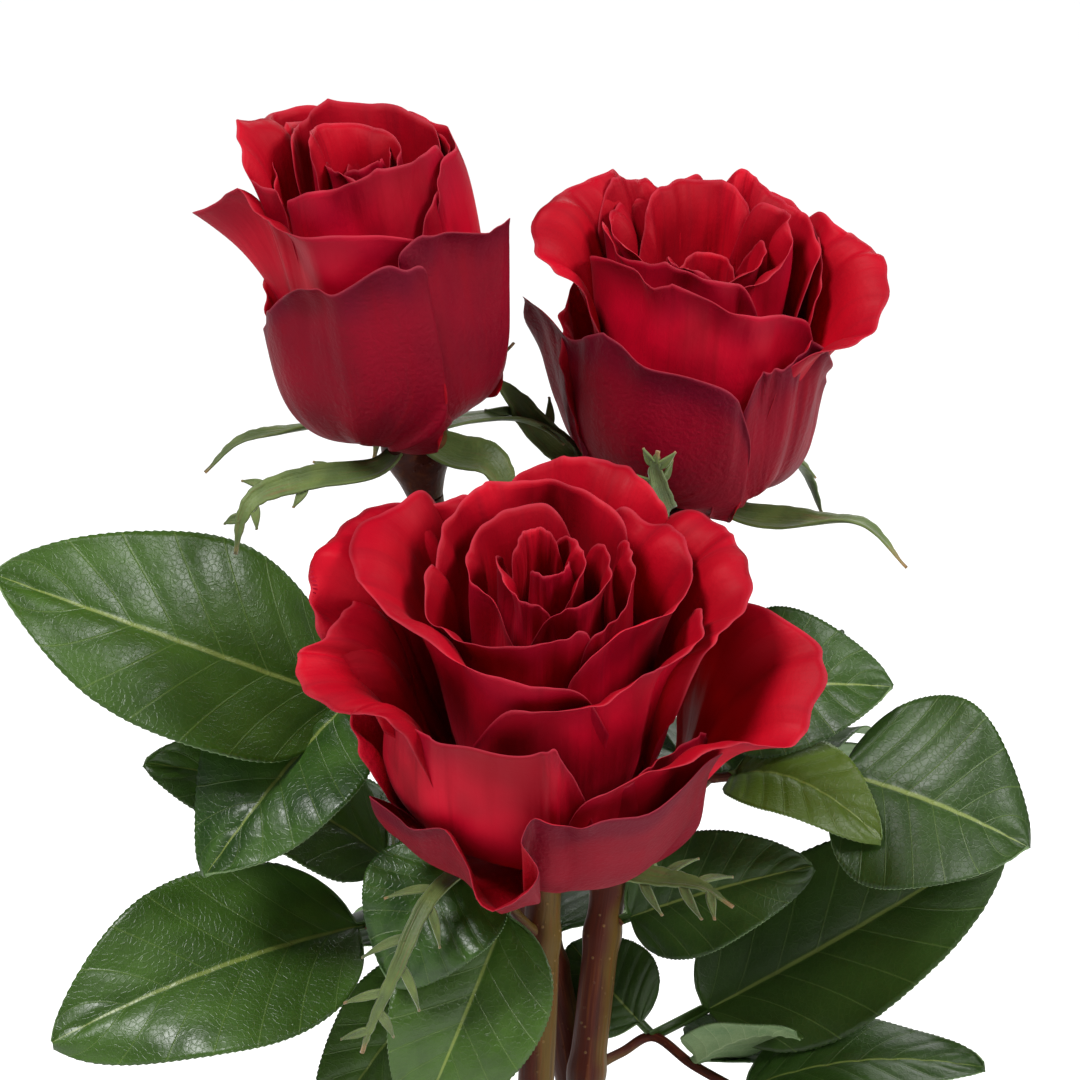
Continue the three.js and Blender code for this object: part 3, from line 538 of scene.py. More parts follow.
def hip(flower):
    """The hip and the low dome on it under the petals, turned about the axis of the rose."""
    wall = spline([[3.5, -HIP_LENGTH], [3.9, -13.5], [4.7, -11], [5.9, -8.2], [6.6, -6], [HIP_RADIUS, -4.6],
                   [6.7, -3.2], [6.2, -1.6], [5.3, 0], [3.6, 3], [2, 5.2]], 40)
    points, faces, places, number = turned([[0, -HIP_LENGTH], *wall.tolist(), [0, 6.2]], 36)
    place = points[:, :1] * flower.right + points[:, 1:2] * flower.back + points[:, 2:] * flower.axis
    return flower.base + place, faces, places, number


def green_skin():
    """The skin of a sepal: soft green, paler on its back and edges, blushed, and dry at its tip."""
    skin = Surface("sepal_green")
    across, along, back = skin.place()
    vein = skin.noise(across * 5, along * 3, skin.number() * 3, 3)
    patch = skin.grain(0.16, 2)
    colour = skin.mix(patch.between(0.35, 0.68), (0.035, 0.068, 0.008, 1), (0.115, 0.165, 0.026, 1))
    colour = skin.mix(back * 0.4, colour, (0.12, 0.17, 0.04, 1))
    colour = skin.mix(vein.between(0.56, 0.72) * 0.45, colour, (0.20, 0.06, 0.03, 1))
    edge = abs(across).between(0.82, 1.0) * 0.5
    colour = skin.mix(edge, colour, (0.11, 0.15, 0.03, 1))
    dry = (along + (patch - 0.5) * 0.3).between(0.9, 1.02) * 0.8
    colour = skin.mix(dry, colour, (0.32, 0.16, 0.055, 1))
    face = skin.node("BsdfPrincipled", {}, {
        "Base Color": colour,
        "Roughness": 0.42 + patch * 0.2,
        "Normal": skin.bump(vein + skin.grain(1.4, 2) * 0.6, 0.22),
        "Sheen Weight": 0.25,
        "Sheen Roughness": 0.5,
    })
    through = skin.node("BsdfTranslucent", {}, {"Color": colour})
    return skin.finish(skin.node("MixShader", {}, {0: 0.18, 1: face, 2: through}))


sepal_green = green_skin()
for rose in ROSES:
    bodies = [body for k, row in enumerate(SEPALS[rose]) for body in sepal(flowers[rose], *row, k)]
    piece(rose + "_sepals", bodies, sepal_green, rose + "_calyx")
    piece(rose + "_hip", [hip(flowers[rose])], stem_bark, rose + "_calyx")


# ---------------------------------------------------------------- the petals
# A petal is a thin velvety sheet, cupped from its claw on the hip up to a rim that rolls outwards.
# The smallest are wound tightly round the middle and each next one wraps the last, up to the
# loose outer ones, which are darker and more rumpled on their backs.

CLAW_INNER_RADIUS = 1.8   # how far from the axis the innermost petal starts
CLAW_OUTER_RADIUS = 6     # how far from it the outermost starts
CLAW_LOWEST = -0.5        # how high the outermost starts
CLAW_RISE = 8             # how much higher than that the innermost starts
PETAL_THICKNESS = 0.36
ROWS, COLUMNS = 44, 88
LIP_REACH = 0.42          # how far down a section its rim sets its direction, as a share of its chord
BELLY_PULL = 1.27         # how far past the cup a curve has to be pulled so that it fills it
TALL_RIM = 55             # a section half this high or higher gets the whole pull
FLARE_FROM = 1.15         # a rim more than this many times as far out as the cup leans outwards
FLARE_LEAN = 3.5          # by so many degrees for each millimetre past that
LEAST_LEAN = 20           # but never flatter than this above level
ROLL_FROM = 0.84          # where along a section its rim starts to roll


def ripple(across, draw, waves, pitch=2.1):
    """An uneven wave along the rim, between about -1 and 1: a few sines of rising pitch."""
    lags = draw.uniform(0, 2 * math.pi, waves)
    return sum(np.sin((k + 2) * pitch * across + lags[k]) / (1 + 0.35 * k) for k in range(waves)) / 2


def nicks(across, draw, count):
    """The small cuts and dips of a rim, from 0 where it is whole to about 1."""
    places = draw.uniform(-0.85, 0.85, count)
    widths = draw.uniform(0.02, 0.09, count)
    depths = draw.uniform(0.3, 1.0, count)
    return sum(depths[k] * np.exp(-np.abs((across - places[k]) / widths[k]) ** 1.3) for k in range(count))


def petal(flower, order, cusp, rim, cup, lip, roll, ruffle, number):
    """One petal. The rim points are [turn, radius, height]. The section under each is a cubic curve
    from the claw out to the cup and up to the rim, where it leans at the lip angle and rolls over."""
    draw = np.random.default_rng(number)
    turn, radius, height = spline(rim, COLUMNS).T
    across = np.linspace(-1, 1, COLUMNS)
    along = np.linspace(0, 1, ROWS)
    side = 1 - across**4
    sway, lift, curl = ripple(across, draw, 5), ripple(across, draw, 6, 3.1), ripple(across, draw, 5, 2.6)
    height = height + ruffle * side * (0.5 * lift - 1.1 * nicks(across, draw, 6))
    height = height + cusp * np.exp(-np.abs(across - draw.uniform(-0.25, 0.25)) / 0.07)
    claw = np.array([CLAW_INNER_RADIUS + (CLAW_OUTER_RADIUS - CLAW_INNER_RADIUS) * order,
                     CLAW_LOWEST + CLAW_RISE * (1 - order)])
    top = np.stack([radius, height], 1)
    pull = LIP_REACH * np.hypot(radius - claw[0], height - claw[1])
    flare = np.maximum(0, radius - FLARE_FROM * cup)
    lean = np.radians(np.maximum(lip - FLARE_LEAN * flare, LEAST_LEAN))
    under = top - pull[:, None] * np.stack([np.cos(lean), np.sin(lean)], 1)
    belly = np.stack([BELLY_PULL * cup * np.clip(0.5 + height / TALL_RIM, 0, 1),
                      claw[1] + np.minimum(0.05 * height, 2)], 1)
    t = along[None, :, None]
    section = ((1 - t) ** 3 * claw + 3 * t * (1 - t) ** 2 * belly[:, None]
               + 3 * t**2 * (1 - t) * under[:, None] + t**3 * top[:, None])
    # The last stretch of each section rolls outwards, more in some places than in others, and
    # the whole section is drawn in so that it still ends on the rim.
    steps = np.diff(section, axis=1)
    heading = np.arctan2(steps[..., 1], steps[..., 0])
    bend = np.clip(((along[1:] + along[:-1]) / 2 - ROLL_FROM) / (1 - ROLL_FROM), 0, 1) ** 1.5
    heading -= np.radians(2.2 * roll) * ((1 - across**2) * (0.8 + 1.1 * curl))[:, None] * bend
    length = np.linalg.norm(steps, axis=2)
    steps = np.stack([np.cos(heading), np.sin(heading)], 2) * length[..., None]
    section = np.concatenate([section[:, :1], section[:, :1] + np.cumsum(steps, axis=1)], 1)
    section += (top - section[:, -1])[:, None] * (along**2)[None, :, None]
    section[..., 0] += 0.7 * ruffle * (side * sway)[:, None] * smooth((along - 0.6) / 0.4)
    crease = ripple(across, draw, 6, 7)
    section[..., 0] += 0.25 * ruffle * crease[:, None] * smooth((along - 0.35) / 0.5)
    frill = ripple(across, draw, 4, 9)
    section[..., 0] += 0.7 * ruffle * (side * frill)[:, None] * smooth((along - 0.8) / 0.2)
    middle = (rim[0][0] + rim[-1][0]) / 2
    spread = 0.3 + 0.7 * smooth(1.7 * along)
    turns = middle + (turn - middle)[:, None] * spread
    grid = flower.at(turns, section[..., 0], section[..., 1]).transpose(1, 0, 2)
    edge = smooth((1 - along[:, None]) / 0.1) * smooth((1 - np.abs(across)) / 0.1)
    thickness = PETAL_THICKNESS * (0.3 + 0.7 * edge[..., None])
    return sheet(grid, thickness, across[None, :], along[:, None], number)


def velvet(name, age):
    """Crimson petal skin with fine lengthwise veins, dark near its rim but for a thin pale line of
    painted highlight along it. With age, from 0 to 1, its back turns darker and wrinkles."""
    skin = Surface(name)
    across, along, back = skin.place()
    number = skin.number()
    streak = skin.noise(across * 17, along * 1.6, number * 3.7, 4)
    cloud = skin.noise(across * 2.1, along * 2.6, number * 5.3, 2)
    front = skin.mix(cloud.between(0.35, 0.7), (0.31, 0.001, 0.008, 1), (0.56, 0.002, 0.013, 1))
    front = skin.mix(0.35 * age, front, (0.30, 0.001, 0.012, 1))
    rear = skin.mix(cloud.between(0.3, 0.7), (0.27, 0.001, 0.010, 1), (0.55, 0.001, 0.020, 1))
    rear = skin.mix(1.1 * age, rear, (0.115, 0.001, 0.010, 1))
    colour = skin.mix(back, front, rear)
    colour = skin.mix(streak.between(0.52, 0.75) * 0.4, colour, (0.24, 0.001, 0.008, 1))
    bruise = (along + (cloud - 0.5) * 0.5).between(0.84, 1.0) * (0.22 + back * (0.2 + 0.35 * age))
    colour = skin.mix(bruise, colour, (0.07, 0.001, 0.012, 1))
    # Painted highlight: a thin pale line along the rim stands in for light catching the petal's edge.
    rim = along.between(0.988, 1.0) * abs(across).between(1.0, 0.85)
    colour = skin.mix(rim * 0.22, colour, (0.66, 0.09, 0.13, 1))
    wrinkle = skin.grain(0.9 + 0.4 * age, 5)
    fold = skin.noise(across * 4, along * 1.8, number * 2.3, 3)
    face = skin.node("BsdfPrincipled", {}, {
        "Base Color": colour,
        "Roughness": 0.42 + streak * 0.30,
        "Normal": skin.bump(streak * 0.8 + wrinkle * (0.3 + age) + fold * 2.5, 0.25),
        "Specular IOR Level": 0.10,
        "Sheen Weight": 0.02,
        "Sheen Roughness": 0.35,
        "Sheen Tint": (1.0, 0.55, 0.62, 1),
    })
    glow = skin.mix(cloud, (0.80, 0.006, 0.006, 1), (0.66, 0.003, 0.008, 1))
    through = skin.node("BsdfTranslucent", {}, {"Color": glow})
    return skin.finish(skin.node("MixShader", {}, {0: 0.13, 1: face, 2: through}))


# Each petal is [rim points, cup radius, lip angle, roll of the lip, ruffle]. A rim point is
# [turn, radius, height] in the frame of its rose, and each list goes from the middle outwards.
WOUND_PETALS = {
    "left_rose": [
        [[[-220, 3, 46], [-160, 4, 54], [-60, 4, 56], [20, 3, 54], [70, 3, 44]], 6, 92, 10, 0.3],
        [[[-60, 4, 44], [-10, 5, 55], [60, 6, 56], [120, 6, 54], [170, 5, 44]], 7, 92, 12, 0.3],
        [[[120, 6, 42], [165, 7, 55], [220, 7, 56], [270, 7, 53], [310, 7, 42]], 8.5, 90, 14, 0.3],
        [[[-60, 8, 42], [-45, 8, 54], [0, 7, 57], [60, 7, 59], [120, 8, 61], [160, 9, 62], [190, 9, 63],
          [205, 10, 58], [215, 10, 44]], 10, 90, 20, 0.4],
        [[[-150, 9, 40], [-110, 11, 53], [-60, 11, 55], [-10, 11, 54], [30, 10, 42]], 11, 90, 16, 0.3],
    ],
    "right_rose": [
        [[[-200, 3, 30], [-150, 4, 38], [-70, 4, 39], [0, 4, 38], [50, 3, 28]], 6, 92, 10, 0.3],
        [[[-30, 5, 34], [20, 6, 44], [80, 7, 46], [150, 6, 44], [200, 5, 34]], 7, 92, 12, 0.3],
        [[[150, 6, 38], [190, 8, 49], [230, 9, 50], [270, 8, 49], [310, 7, 38]], 8.5, 86, 20, 0.3],
        [[[-110, 9, 38], [-75, 10, 48], [-30, 11, 51], [15, 10, 52], [55, 9, 40]], 10, 86, 20, 0.3],
        [[[30, 11, 40], [60, 14, 55], [100, 16, 57], [140, 15, 56], [170, 13, 40]], 11.5, 84, 24, 0.4],
        [[[120, 12, 40], [115, 14, 52], [125, 18, 53], [145, 20, 54], [165, 20, 54], [190, 18, 53],
          [215, 15, 51], [240, 13, 40]], 12.5, 84, 25, 0.4],
        [[[-95, 12, 38], [-75, 13, 48], [-45, 15, 51], [-20, 16, 54], [5, 15, 57], [25, 15, 57],
          [45, 12, 56], [60, 9, 44]], 13, 86, 25, 0.4],
    ],
    "front_rose": [
        [[[-210, 2, 53], [-150, 3, 65], [-60, 4, 66], [10, 4, 65], [60, 3, 51]], 6, 94, 8, 0.3],
        [[[20, 4, 51], [70, 5, 67], [120, 5, 70], [170, 6, 67], [210, 6, 51]], 7, 92, 10, 0.3],
        [[[-90, 6, 49], [-40, 7, 64], [20, 7, 67], [70, 7, 65], [110, 6, 51]], 8, 92, 14, 0.3],
        [[[120, 8, 47], [160, 9, 64], [200, 9, 66], [240, 9, 64], [270, 9, 63], [300, 8, 49]],
         9, 90, 16, 0.4],
        [[[-120, 9, 47], [-85, 11, 63], [-50, 12, 65], [-10, 12, 66], [30, 11, 65], [60, 10, 51]],
         10.5, 88, 18, 0.4],
        [[[50, 11, 49], [80, 13, 65], [120, 15, 66], [160, 15, 65], [190, 14, 64], [220, 12, 63],
          [250, 12, 49]], 12, 86, 18, 0.4],
    ],
}
PETALS = {
    "left_rose": [
        [[[-25, 12, 42], [0, 14, 54], [30, 15, 57], [60, 15, 60], [90, 15, 61], [120, 15, 62], [140, 15, 61],
          [165, 13, 62], [185, 13, 60], [200, 13, 46]], 13.5, 92, 12, 0.4],
        [[[-165, 15, 36], [-155, 17, 51], [-130, 17, 56], [-100, 16, 58], [-70, 15.5, 59], [-40, 15.5, 59],
          [-20, 16, 58], [-5, 15, 44]], 13.8, 94, 14, 0.4],
        [[[-70, 17, 34], [-50, 17, 48], [-25, 16.5, 53], [0, 16, 54], [30, 16, 56], [60, 16, 54],
          [80, 16, 40]], 15, 92, 12, 0.5],
        [[[85, 16, 40], [110, 17, 56], [140, 17.5, 60], [170, 17, 58], [195, 17, 52], [210, 17, 40]],
         15.2, 90, 16, 0.6],
        [[[-205, 22, 28], [-200, 27, 40], [-194, 32, 46], [-185, 33.5, 49], [-176, 29.5, 52], [-167, 25, 55],
          [-157, 23, 52], [-145, 22, 51], [-120, 23, 51], [-95, 21, 50], [-70, 20.5, 47], [-50, 19.5, 41],
          [-42, 17.5, 30]], 17.6, 82, 18, 0.6],
        [[[-48, 16.5, 30], [-40, 17, 48], [-30, 17, 56], [0, 17, 56], [35, 17, 57], [60, 17, 58],
          [85, 17.5, 54], [105, 18, 40]], 15.6, 98, 8, 0.5],
        [[[90, 19, 40], [100, 20, 54], [115, 21, 60], [135, 23, 61], [155, 21.5, 63], [175, 22.5, 65],
          [190, 22.5, 62], [200, 21, 57], [208, 18, 54], [213, 17.5, 42]], 16.6, 84, 22, 0.6],
        [[[-94, 17, 12], [-88, 21, 30], [-78, 22, 39], [-75, 22, 45], [-55, 22.5, 46], [-35, 24, 44],
          [-20, 27.5, 44], [-8, 24, 39], [12, 22.5, 32], [35, 20.5, 10]], 19, 90, 16, 0.6],
        [[[110, 20, 10], [130, 22.5, 28], [150, 23, 34], [170, 23, 34], [185, 23, 28], [200, 21, 10]],
         19.2, 88, 20, 0.7],
        [[[-200, 20.5, 8], [-190, 23.5, 20], [-172, 24.5, 26], [-157, 24, 32], [-140, 25, 37], [-125, 25, 40],
          [-113, 24.5, 39], [-100, 24.5, 41], [-86, 24, 44], [-76, 24, 43], [-66, 23.5, 42], [-66, 22.5, 30],
          [-68, 21.5, 18], [-72, 19, 6]], 20.6, 90, 14, 0.8],
        [[[12, 19, 8], [28, 21.5, 24], [48, 23, 36], [75, 24, 41], [105, 24, 38], [130, 23.5, 28],
          [145, 21, 10]], 20.2, 88, 20, 0.9],
    ],
    "right_rose": [
        [[[-195, 18, 38], [-185, 21, 54], [-165, 18, 51], [-140, 17, 53], [-110, 17, 54], [-80, 17, 53],
          [-65, 17.5, 50], [-50, 18, 38]], 14.5, 90, 16, 0.4],
        [[[-30, 18, 36], [-10, 20.5, 50], [20, 21, 54], [40, 20, 55], [60, 19, 56], [70, 19, 59],
          [80, 18.5, 56], [100, 17, 42]], 15.5, 84, 18, 0.5],
        [[[82, 19, 38], [92, 20, 54], [105, 20, 55], [120, 20, 54], [135, 21, 57], [148, 22, 59],
          [160, 22, 54], [175, 21, 40]], 16, 84, 20, 0.5],
        [[[-200, 20, 28], [-185, 22, 44], [-165, 23, 51], [-135, 22, 54], [-120, 21.5, 52], [-105, 21, 53],
          [-85, 21.5, 50], [-65, 22, 48], [-50, 23, 47], [-35, 24, 43], [-25, 24, 32]], 17.5, 88, 16, 0.5],
        [[[-35, 20, 28], [-18, 22, 44], [5, 22, 50], [35, 22, 53], [60, 21.5, 54], [85, 21, 48],
          [105, 20, 32]], 18, 88, 18, 0.5],
        [[[115, 21, 30], [130, 22, 50], [143, 23.5, 59], [155, 26, 58], [166, 29.5, 57], [176, 33, 55],
          [186, 34, 51], [195, 31, 48], [204, 27, 46], [214, 24, 38], [224, 23, 28]], 18.6, 74, 26, 0.7],
        [[[-60, 23.5, 22], [-52, 25, 36], [-45, 29, 41], [-35, 33.5, 42], [-27, 35, 44], [-17, 35.5, 47],
          [-7, 34, 50], [3, 32, 52], [14, 26, 54], [30, 24, 54], [45, 23, 44], [55, 22.5, 28]],
         20, 74, 20, 0.7],
        [[[115, 22, 8], [135, 25, 26], [155, 26, 36], [175, 27, 36], [190, 27, 30], [203, 26.5, 20],
          [213, 23, 8]], 21, 84, 22, 0.8],
        [[[-206, 23.5, 6], [-196, 30, 20], [-189, 34, 28], [-182, 35, 37], [-175, 31, 36], [-165, 26, 33],
          [-150, 25.5, 37], [-135, 25.5, 39], [-115, 26, 37.5], [-95, 26, 36.5], [-80, 26.5, 35],
          [-74, 26.5, 31], [-67, 26, 21], [-68, 22.5, 6]], 22.8, 88, 14, 0.7],
        [[[14, 20, 6], [32, 24, 24], [52, 27, 38], [80, 28, 41], [110, 27, 37], [135, 26, 24],
          [150, 22.5, 8]], 21, 82, 26, 0.9],
        [[[-80, 23, 10], [-69, 25, 34], [-60, 25, 37], [-50, 26, 39], [-40, 26.5, 40.5], [-30, 27, 37],
          [-15, 25.5, 29], [5, 24, 20], [20, 22, 8]], 21.4, 88, 12, 0.9],
    ],
    "front_rose": [
        [[[165, 18, 45], [175, 20.5, 63], [190, 22.5, 64], [205, 23.5, 61], [220, 22, 60], [240, 18.5, 61],
          [262, 17.5, 63], [280, 17.5, 64], [295, 17, 64], [308, 16, 49]], 15.5, 86, 16, 0.4],
        [[[-75, 16, 45], [-62, 17, 61], [-40, 17, 63], [-15, 16.5, 64], [10, 16, 65], [30, 16, 63],
          [45, 15, 47]], 14.5, 90, 14, 0.4],
        [[[20, 16, 45], [30, 17, 64], [60, 18.5, 66], [85, 19.5, 67], [110, 20, 67.5], [130, 20.5, 68],
          [150, 20.5, 66.5], [170, 20.5, 65], [185, 20, 59], [197, 19, 45]], 16.6, 88, 16, 0.5],
        [[[125, 27, 41], [135, 31, 61], [150, 33, 63], [165, 36, 65], [182, 35.5, 65], [198, 31, 64],
          [215, 27, 62], [240, 24, 59], [265, 24, 59], [285, 24, 56], [300, 23, 41]], 20.5, 76, 22, 0.5],
        [[[-84, 19, 43], [-74, 20, 57], [-52, 20, 63], [-30, 23, 63.5], [-10, 26, 61.5], [10, 27.5, 60],
          [28, 28, 60], [42, 26, 58], [56, 24, 59], [70, 22, 43]], 18.5, 80, 22, 0.5],
        [[[-125, 24, 37], [-105, 25.5, 53], [-85, 26, 54], [-68, 26, 54], [-50, 27, 57], [-38, 29, 58],
          [-27, 31, 60], [-18, 30, 62], [-8, 27.5, 57], [0, 26, 43]], 21.5, 84, 18, 0.5],
        [[[92, 24, 41], [106, 27, 55], [124, 29, 58], [142, 30, 59], [158, 29.5, 57], [172, 28, 43]],
         21, 78, 20, 0.6],
        [[[-36, 29, 41], [-27, 32, 56], [-18, 34.5, 59], [-8, 36.5, 60], [5, 37.5, 59], [18, 37.5, 58],
          [28, 37, 57], [40, 35, 56], [50, 31.5, 49], [60, 29, 35]], 22.6, 70, 24, 0.6],
        [[[36, 29, 37], [46, 32.5, 54], [57, 33.5, 58], [70, 34, 59], [85, 33.5, 58], [100, 33, 54],
          [113, 31.5, 47], [125, 29, 35]], 23.5, 80, 20, 0.6],
        [[[120, 29, 35], [134, 33, 54], [145, 36, 59], [156, 40, 60], [169, 43, 59.5], [181, 43.5, 59],
          [191, 41.5, 55], [199, 37, 47], [206, 33, 35]], 24, 66, 26, 0.7],
        [[[163, 31, 29], [174, 34, 51], [185, 37, 57], [193, 42, 56], [196, 47, 55], [203, 48, 53],
          [212, 45, 51], [217, 40, 52], [223, 36, 47], [230, 32, 31]], 25.5, 70, 18, 0.8],
        [[[-92, 29, 17], [-80, 30, 31], [-60, 31, 36], [-40, 31, 36], [-20, 31, 31], [-8, 30, 17]],
         26, 88, 10, 0.6],
        [[[28, 26, 9], [46, 34, 27], [64, 38, 39], [84, 40, 43], [104, 39, 39], [120, 35, 27],
          [132, 26, 9]], 26.5, 68, 35, 0.8],
        [[[-178, 28, 11], [-168, 31, 33], [-155, 32, 41], [-143, 31.5, 43], [-130, 32, 44],
          [-117, 31.5, 47], [-95, 31.5, 49], [-88, 32, 51], [-84, 31.5, 46], [-77, 31.5, 35],
          [-70, 30, 17]], 28.5, 90, 10, 0.7],
        [[[128, 26, 7], [143, 33, 23], [158, 36, 31], [174, 37, 33], [188, 36.5, 28], [200, 34, 19],
          [210, 27, 7]], 28, 74, 30, 0.9],
        [[[-90, 29, 11], [-80, 33, 34], [-70, 33, 39], [-58, 33.5, 40], [-45, 37, 42], [-36, 41, 43],
          [-31, 46, 41], [-25, 51, 40], [-18, 52, 43], [-9, 51, 46], [-3, 50, 47], [3, 45, 48],
          [11, 38, 47], [19, 35, 43], [28, 31, 25]], 29.5, 70, 14, 1.1],
        [[[-164, 27, 5], [-159, 36, 15], [-150, 34, 16], [-135, 34, 21], [-122, 34, 25], [-114, 36, 20],
          [-106, 40, 15], [-98, 42, 18], [-92, 39, 24], [-97, 37.5, 31], [-93, 37, 36], [-84, 37, 33],
          [-76, 37, 36], [-57, 36.5, 33], [-43, 37, 36], [-34, 38, 38], [-29, 34, 25], [-27, 27, 7]],
         30.5, 82, 16, 1.5],
    ],
}
# The numbers of the outermost petals, counted from 1, whose backs are the oldest.
OLD_PETALS = {"left_rose": [8, 10, 11], "right_rose": [8, 9, 10, 11], "front_rose": [15, 17]}
CUSP, WOUND_CUSP = 1.5, 0.5     # how far the point in the middle of a rim stands up

young_velvet = velvet("young_petal_velvet", 0.0)
old_velvet = velvet("old_petal_velvet", 0.7)
for rose in ROSES:
    wound = [petal(flowers[rose], 0, WOUND_CUSP, *row, 50 + k)
             for k, row in enumerate(WOUND_PETALS[rose])]
    piece(rose + "_wound_petals", wound, young_velvet, rose + "_heart")
    count = len(PETALS[rose])
    for k, row in enumerate(PETALS[rose]):
        body = petal(flowers[rose], (k + 1) / count, CUSP, *row, 1 + k + 20 * ROSES.index(rose))
        node = f"{rose}_petal_{k + 1:02d}"
        skin = old_velvet if k + 1 in OLD_PETALS[rose] else young_velvet
        piece(node + "_skin", [body], skin, node)


# ---------------------------------------------------------------- the leaves
# A leaf is up to five waxy leaflets on one thin stalk that leaves the stem. Each leaflet is a
# toothed oval, folded along a pale midrib, with sunken side veins and a dull grey-green back.

# Each leaf is the points of its stalk and then its leaflets: the number of the stalk point that each
# leaves, its tip, its width, the way its upper side faces, how far its midrib arches up and sways
# sideways, and how much of its own short stalk is bare.
LEAVES = {
    "left_rose_leaf_1": [
        [[-14.5, 11.5, 255], [-28, 4, 262], [-40, -4, 268]],
        [2, [-106, -22, 298], 44, [0, -0.75, 0.65], 4, 2, 2],
        [2, [-67, -27, 240], 33, [-0.3, -0.7, 0.6], 7, 3, 2],
        [1, [-60, 42, 270], 30, [-0.2, 0.3, 0.9], 4, 0, 2],
    ],
    "left_rose_leaf_2": [
        [[-7, 14, 228], [-20, 10, 230], [-32, 7, 232]],
        [2, [-80, 2, 254], 27, [0.1, -0.7, 0.7], 3, -3, 2],
        [2, [-66, 40, 236], 28, [-0.3, 0.1, 0.95], 4, 0, 2],
        [1, [-30, 50, 226], 26, [0, 0.3, 0.95], 4, 0, 2],
    ],
    "left_rose_leaf_3": [
        [[-1.5, 15, 208], [-18, 6, 214], [-37, -4, 223]],
        [2, [-97, -22, 205], 40, [0, -0.75, 0.65], 6, 0, 2],
        [1, [-46, 2, 177], 25, [-0.4, -0.7, 0.5], 3, 0, 2],
        [1, [-52, 42, 206], 28, [-0.4, 0.3, 0.85], 4, 0, 2],
    ],
    "front_rose_leaf": [
        [[-3, -9.5, 222], [-9, -17, 231], [-13, -22, 242]],
        [2, [-31, -30, 219], 28, [0, -0.85, 0.5], 4, -3, 2],
        [1, [-27, -25, 188], 30, [0.1, -0.9, 0.4], 4, 0, 2],
    ],
    "right_rose_leaf_1": [
        [[19.5, 28, 262], [24, 26, 262], [29, 22, 262]],
        [2, [66, 14, 266], 30, [-0.1, -0.8, 0.55], 4, 0, 2],
        [1, [58, 62, 264], 28, [0.2, 0.2, 0.95], 4, 0, 2],
    ],
    "right_rose_leaf_2": [
        [[14.7, 20.5, 243], [34, 16, 247], [54, 10, 250]],
        [2, [92, -2, 238], 42, [0.05, -0.8, 0.6], 4, 0, 2],
        [1, [63, -6, 241], 22, [0, -0.6, 0.8], 8, 0, 2],
        [1, [64, 52, 246], 26, [0.2, 0.2, 0.95], 4, 0, 2],
    ],
    "right_rose_leaf_3": [
        [[9, 11.5, 216], [13, 11, 219]],
        [1, [50, 2, 233], 25, [-0.1, -0.85, 0.5], 3, 0, 2],
    ],
    "right_rose_leaf_4": [
        [[6, 7.5, 189], [13, 12, 191], [19.5, 13, 194], [27, 8, 190], [36, 4, 186]],
        [2, [88, 5, 238], 38, [-0.2, -0.85, 0.5], -4, 0, 12],
        [2, [3, 24, 210], 22, [-0.2, -0.9, 0.3], 2, 0, 4],
        [3, [47, -13, 203], 20, [-0.2, 0.7, 0.6], 3, 0, 2],
        [3, [50, 34, 186], 22, [0, -0.3, 0.9], 3, 0, 2],
        [4, [84, -5, 194], 24, [0, -0.4, 0.9], 5, 0, 2],
    ],
    "back_leaf_1": [
        [[-10.5, 13, 240], [-16, 32, 250], [-20, 52, 256]],
        [2, [-22, 106, 250], 36, [0, 0.3, 0.95], 6, 0, 2],
        [2, [-58, 76, 252], 28, [-0.2, 0.3, 0.9], 4, 0, 2],
        [2, [12, 78, 254], 28, [0.2, 0.3, 0.9], 4, 0, 2],
        [1, [14, 56, 262], 24, [0.2, 0.3, 0.9], 4, 0, 2],
    ],
    "back_leaf_2": [
        [[11, 14, 225], [22, 34, 232], [32, 54, 236]],
        [2, [52, 102, 228], 36, [0.1, 0.3, 0.95], 6, 0, 2],
        [2, [78, 70, 232], 28, [0.3, 0.3, 0.9], 4, 0, 2],
        [2, [8, 92, 232], 28, [-0.1, 0.3, 0.9], 4, 0, 2],
    ],
    "back_leaf_3": [
        [[3, 16, 190], [2, 36, 198], [0, 54, 203]],
        [2, [-4, 106, 196], 38, [0, 0.3, 0.95], 6, 0, 2],
        [2, [-42, 74, 198], 30, [-0.2, 0.3, 0.9], 4, 0, 2],
        [2, [36, 80, 196], 28, [0.2, 0.3, 0.9], 4, 0, 2],
    ],
}

TEETH = 44
TOOTH_HEIGHT = 0.28
LEAF_THICKNESS = 0.4
BLADE_WIDEST = 0.7        # below 1, a blade is widest nearer its stalk
BLADE_FULLNESS = 0.66     # below 1, a blade is fuller than a plain arch
BLADE_FOLD = 0.16         # how steeply both halves rise from the midrib
VEIN_PAIRS = 7.5
VEIN_START = 0.05
VEIN_SLANT = 0.30         # how far forwards a side vein runs on its way to the margin
VEIN_CURVE = 0.07
# The leaflets are numbered in the order of the list, from a multiple of this for each leaf.
LEAFLETS_APART = 7
FIRST_RIGHT_LEAFLET = 28  # from about this one on they are painted darker as shade, and are less glossy
YOUNG_LEAFLET = 36        # the arched yellow-green one on the right


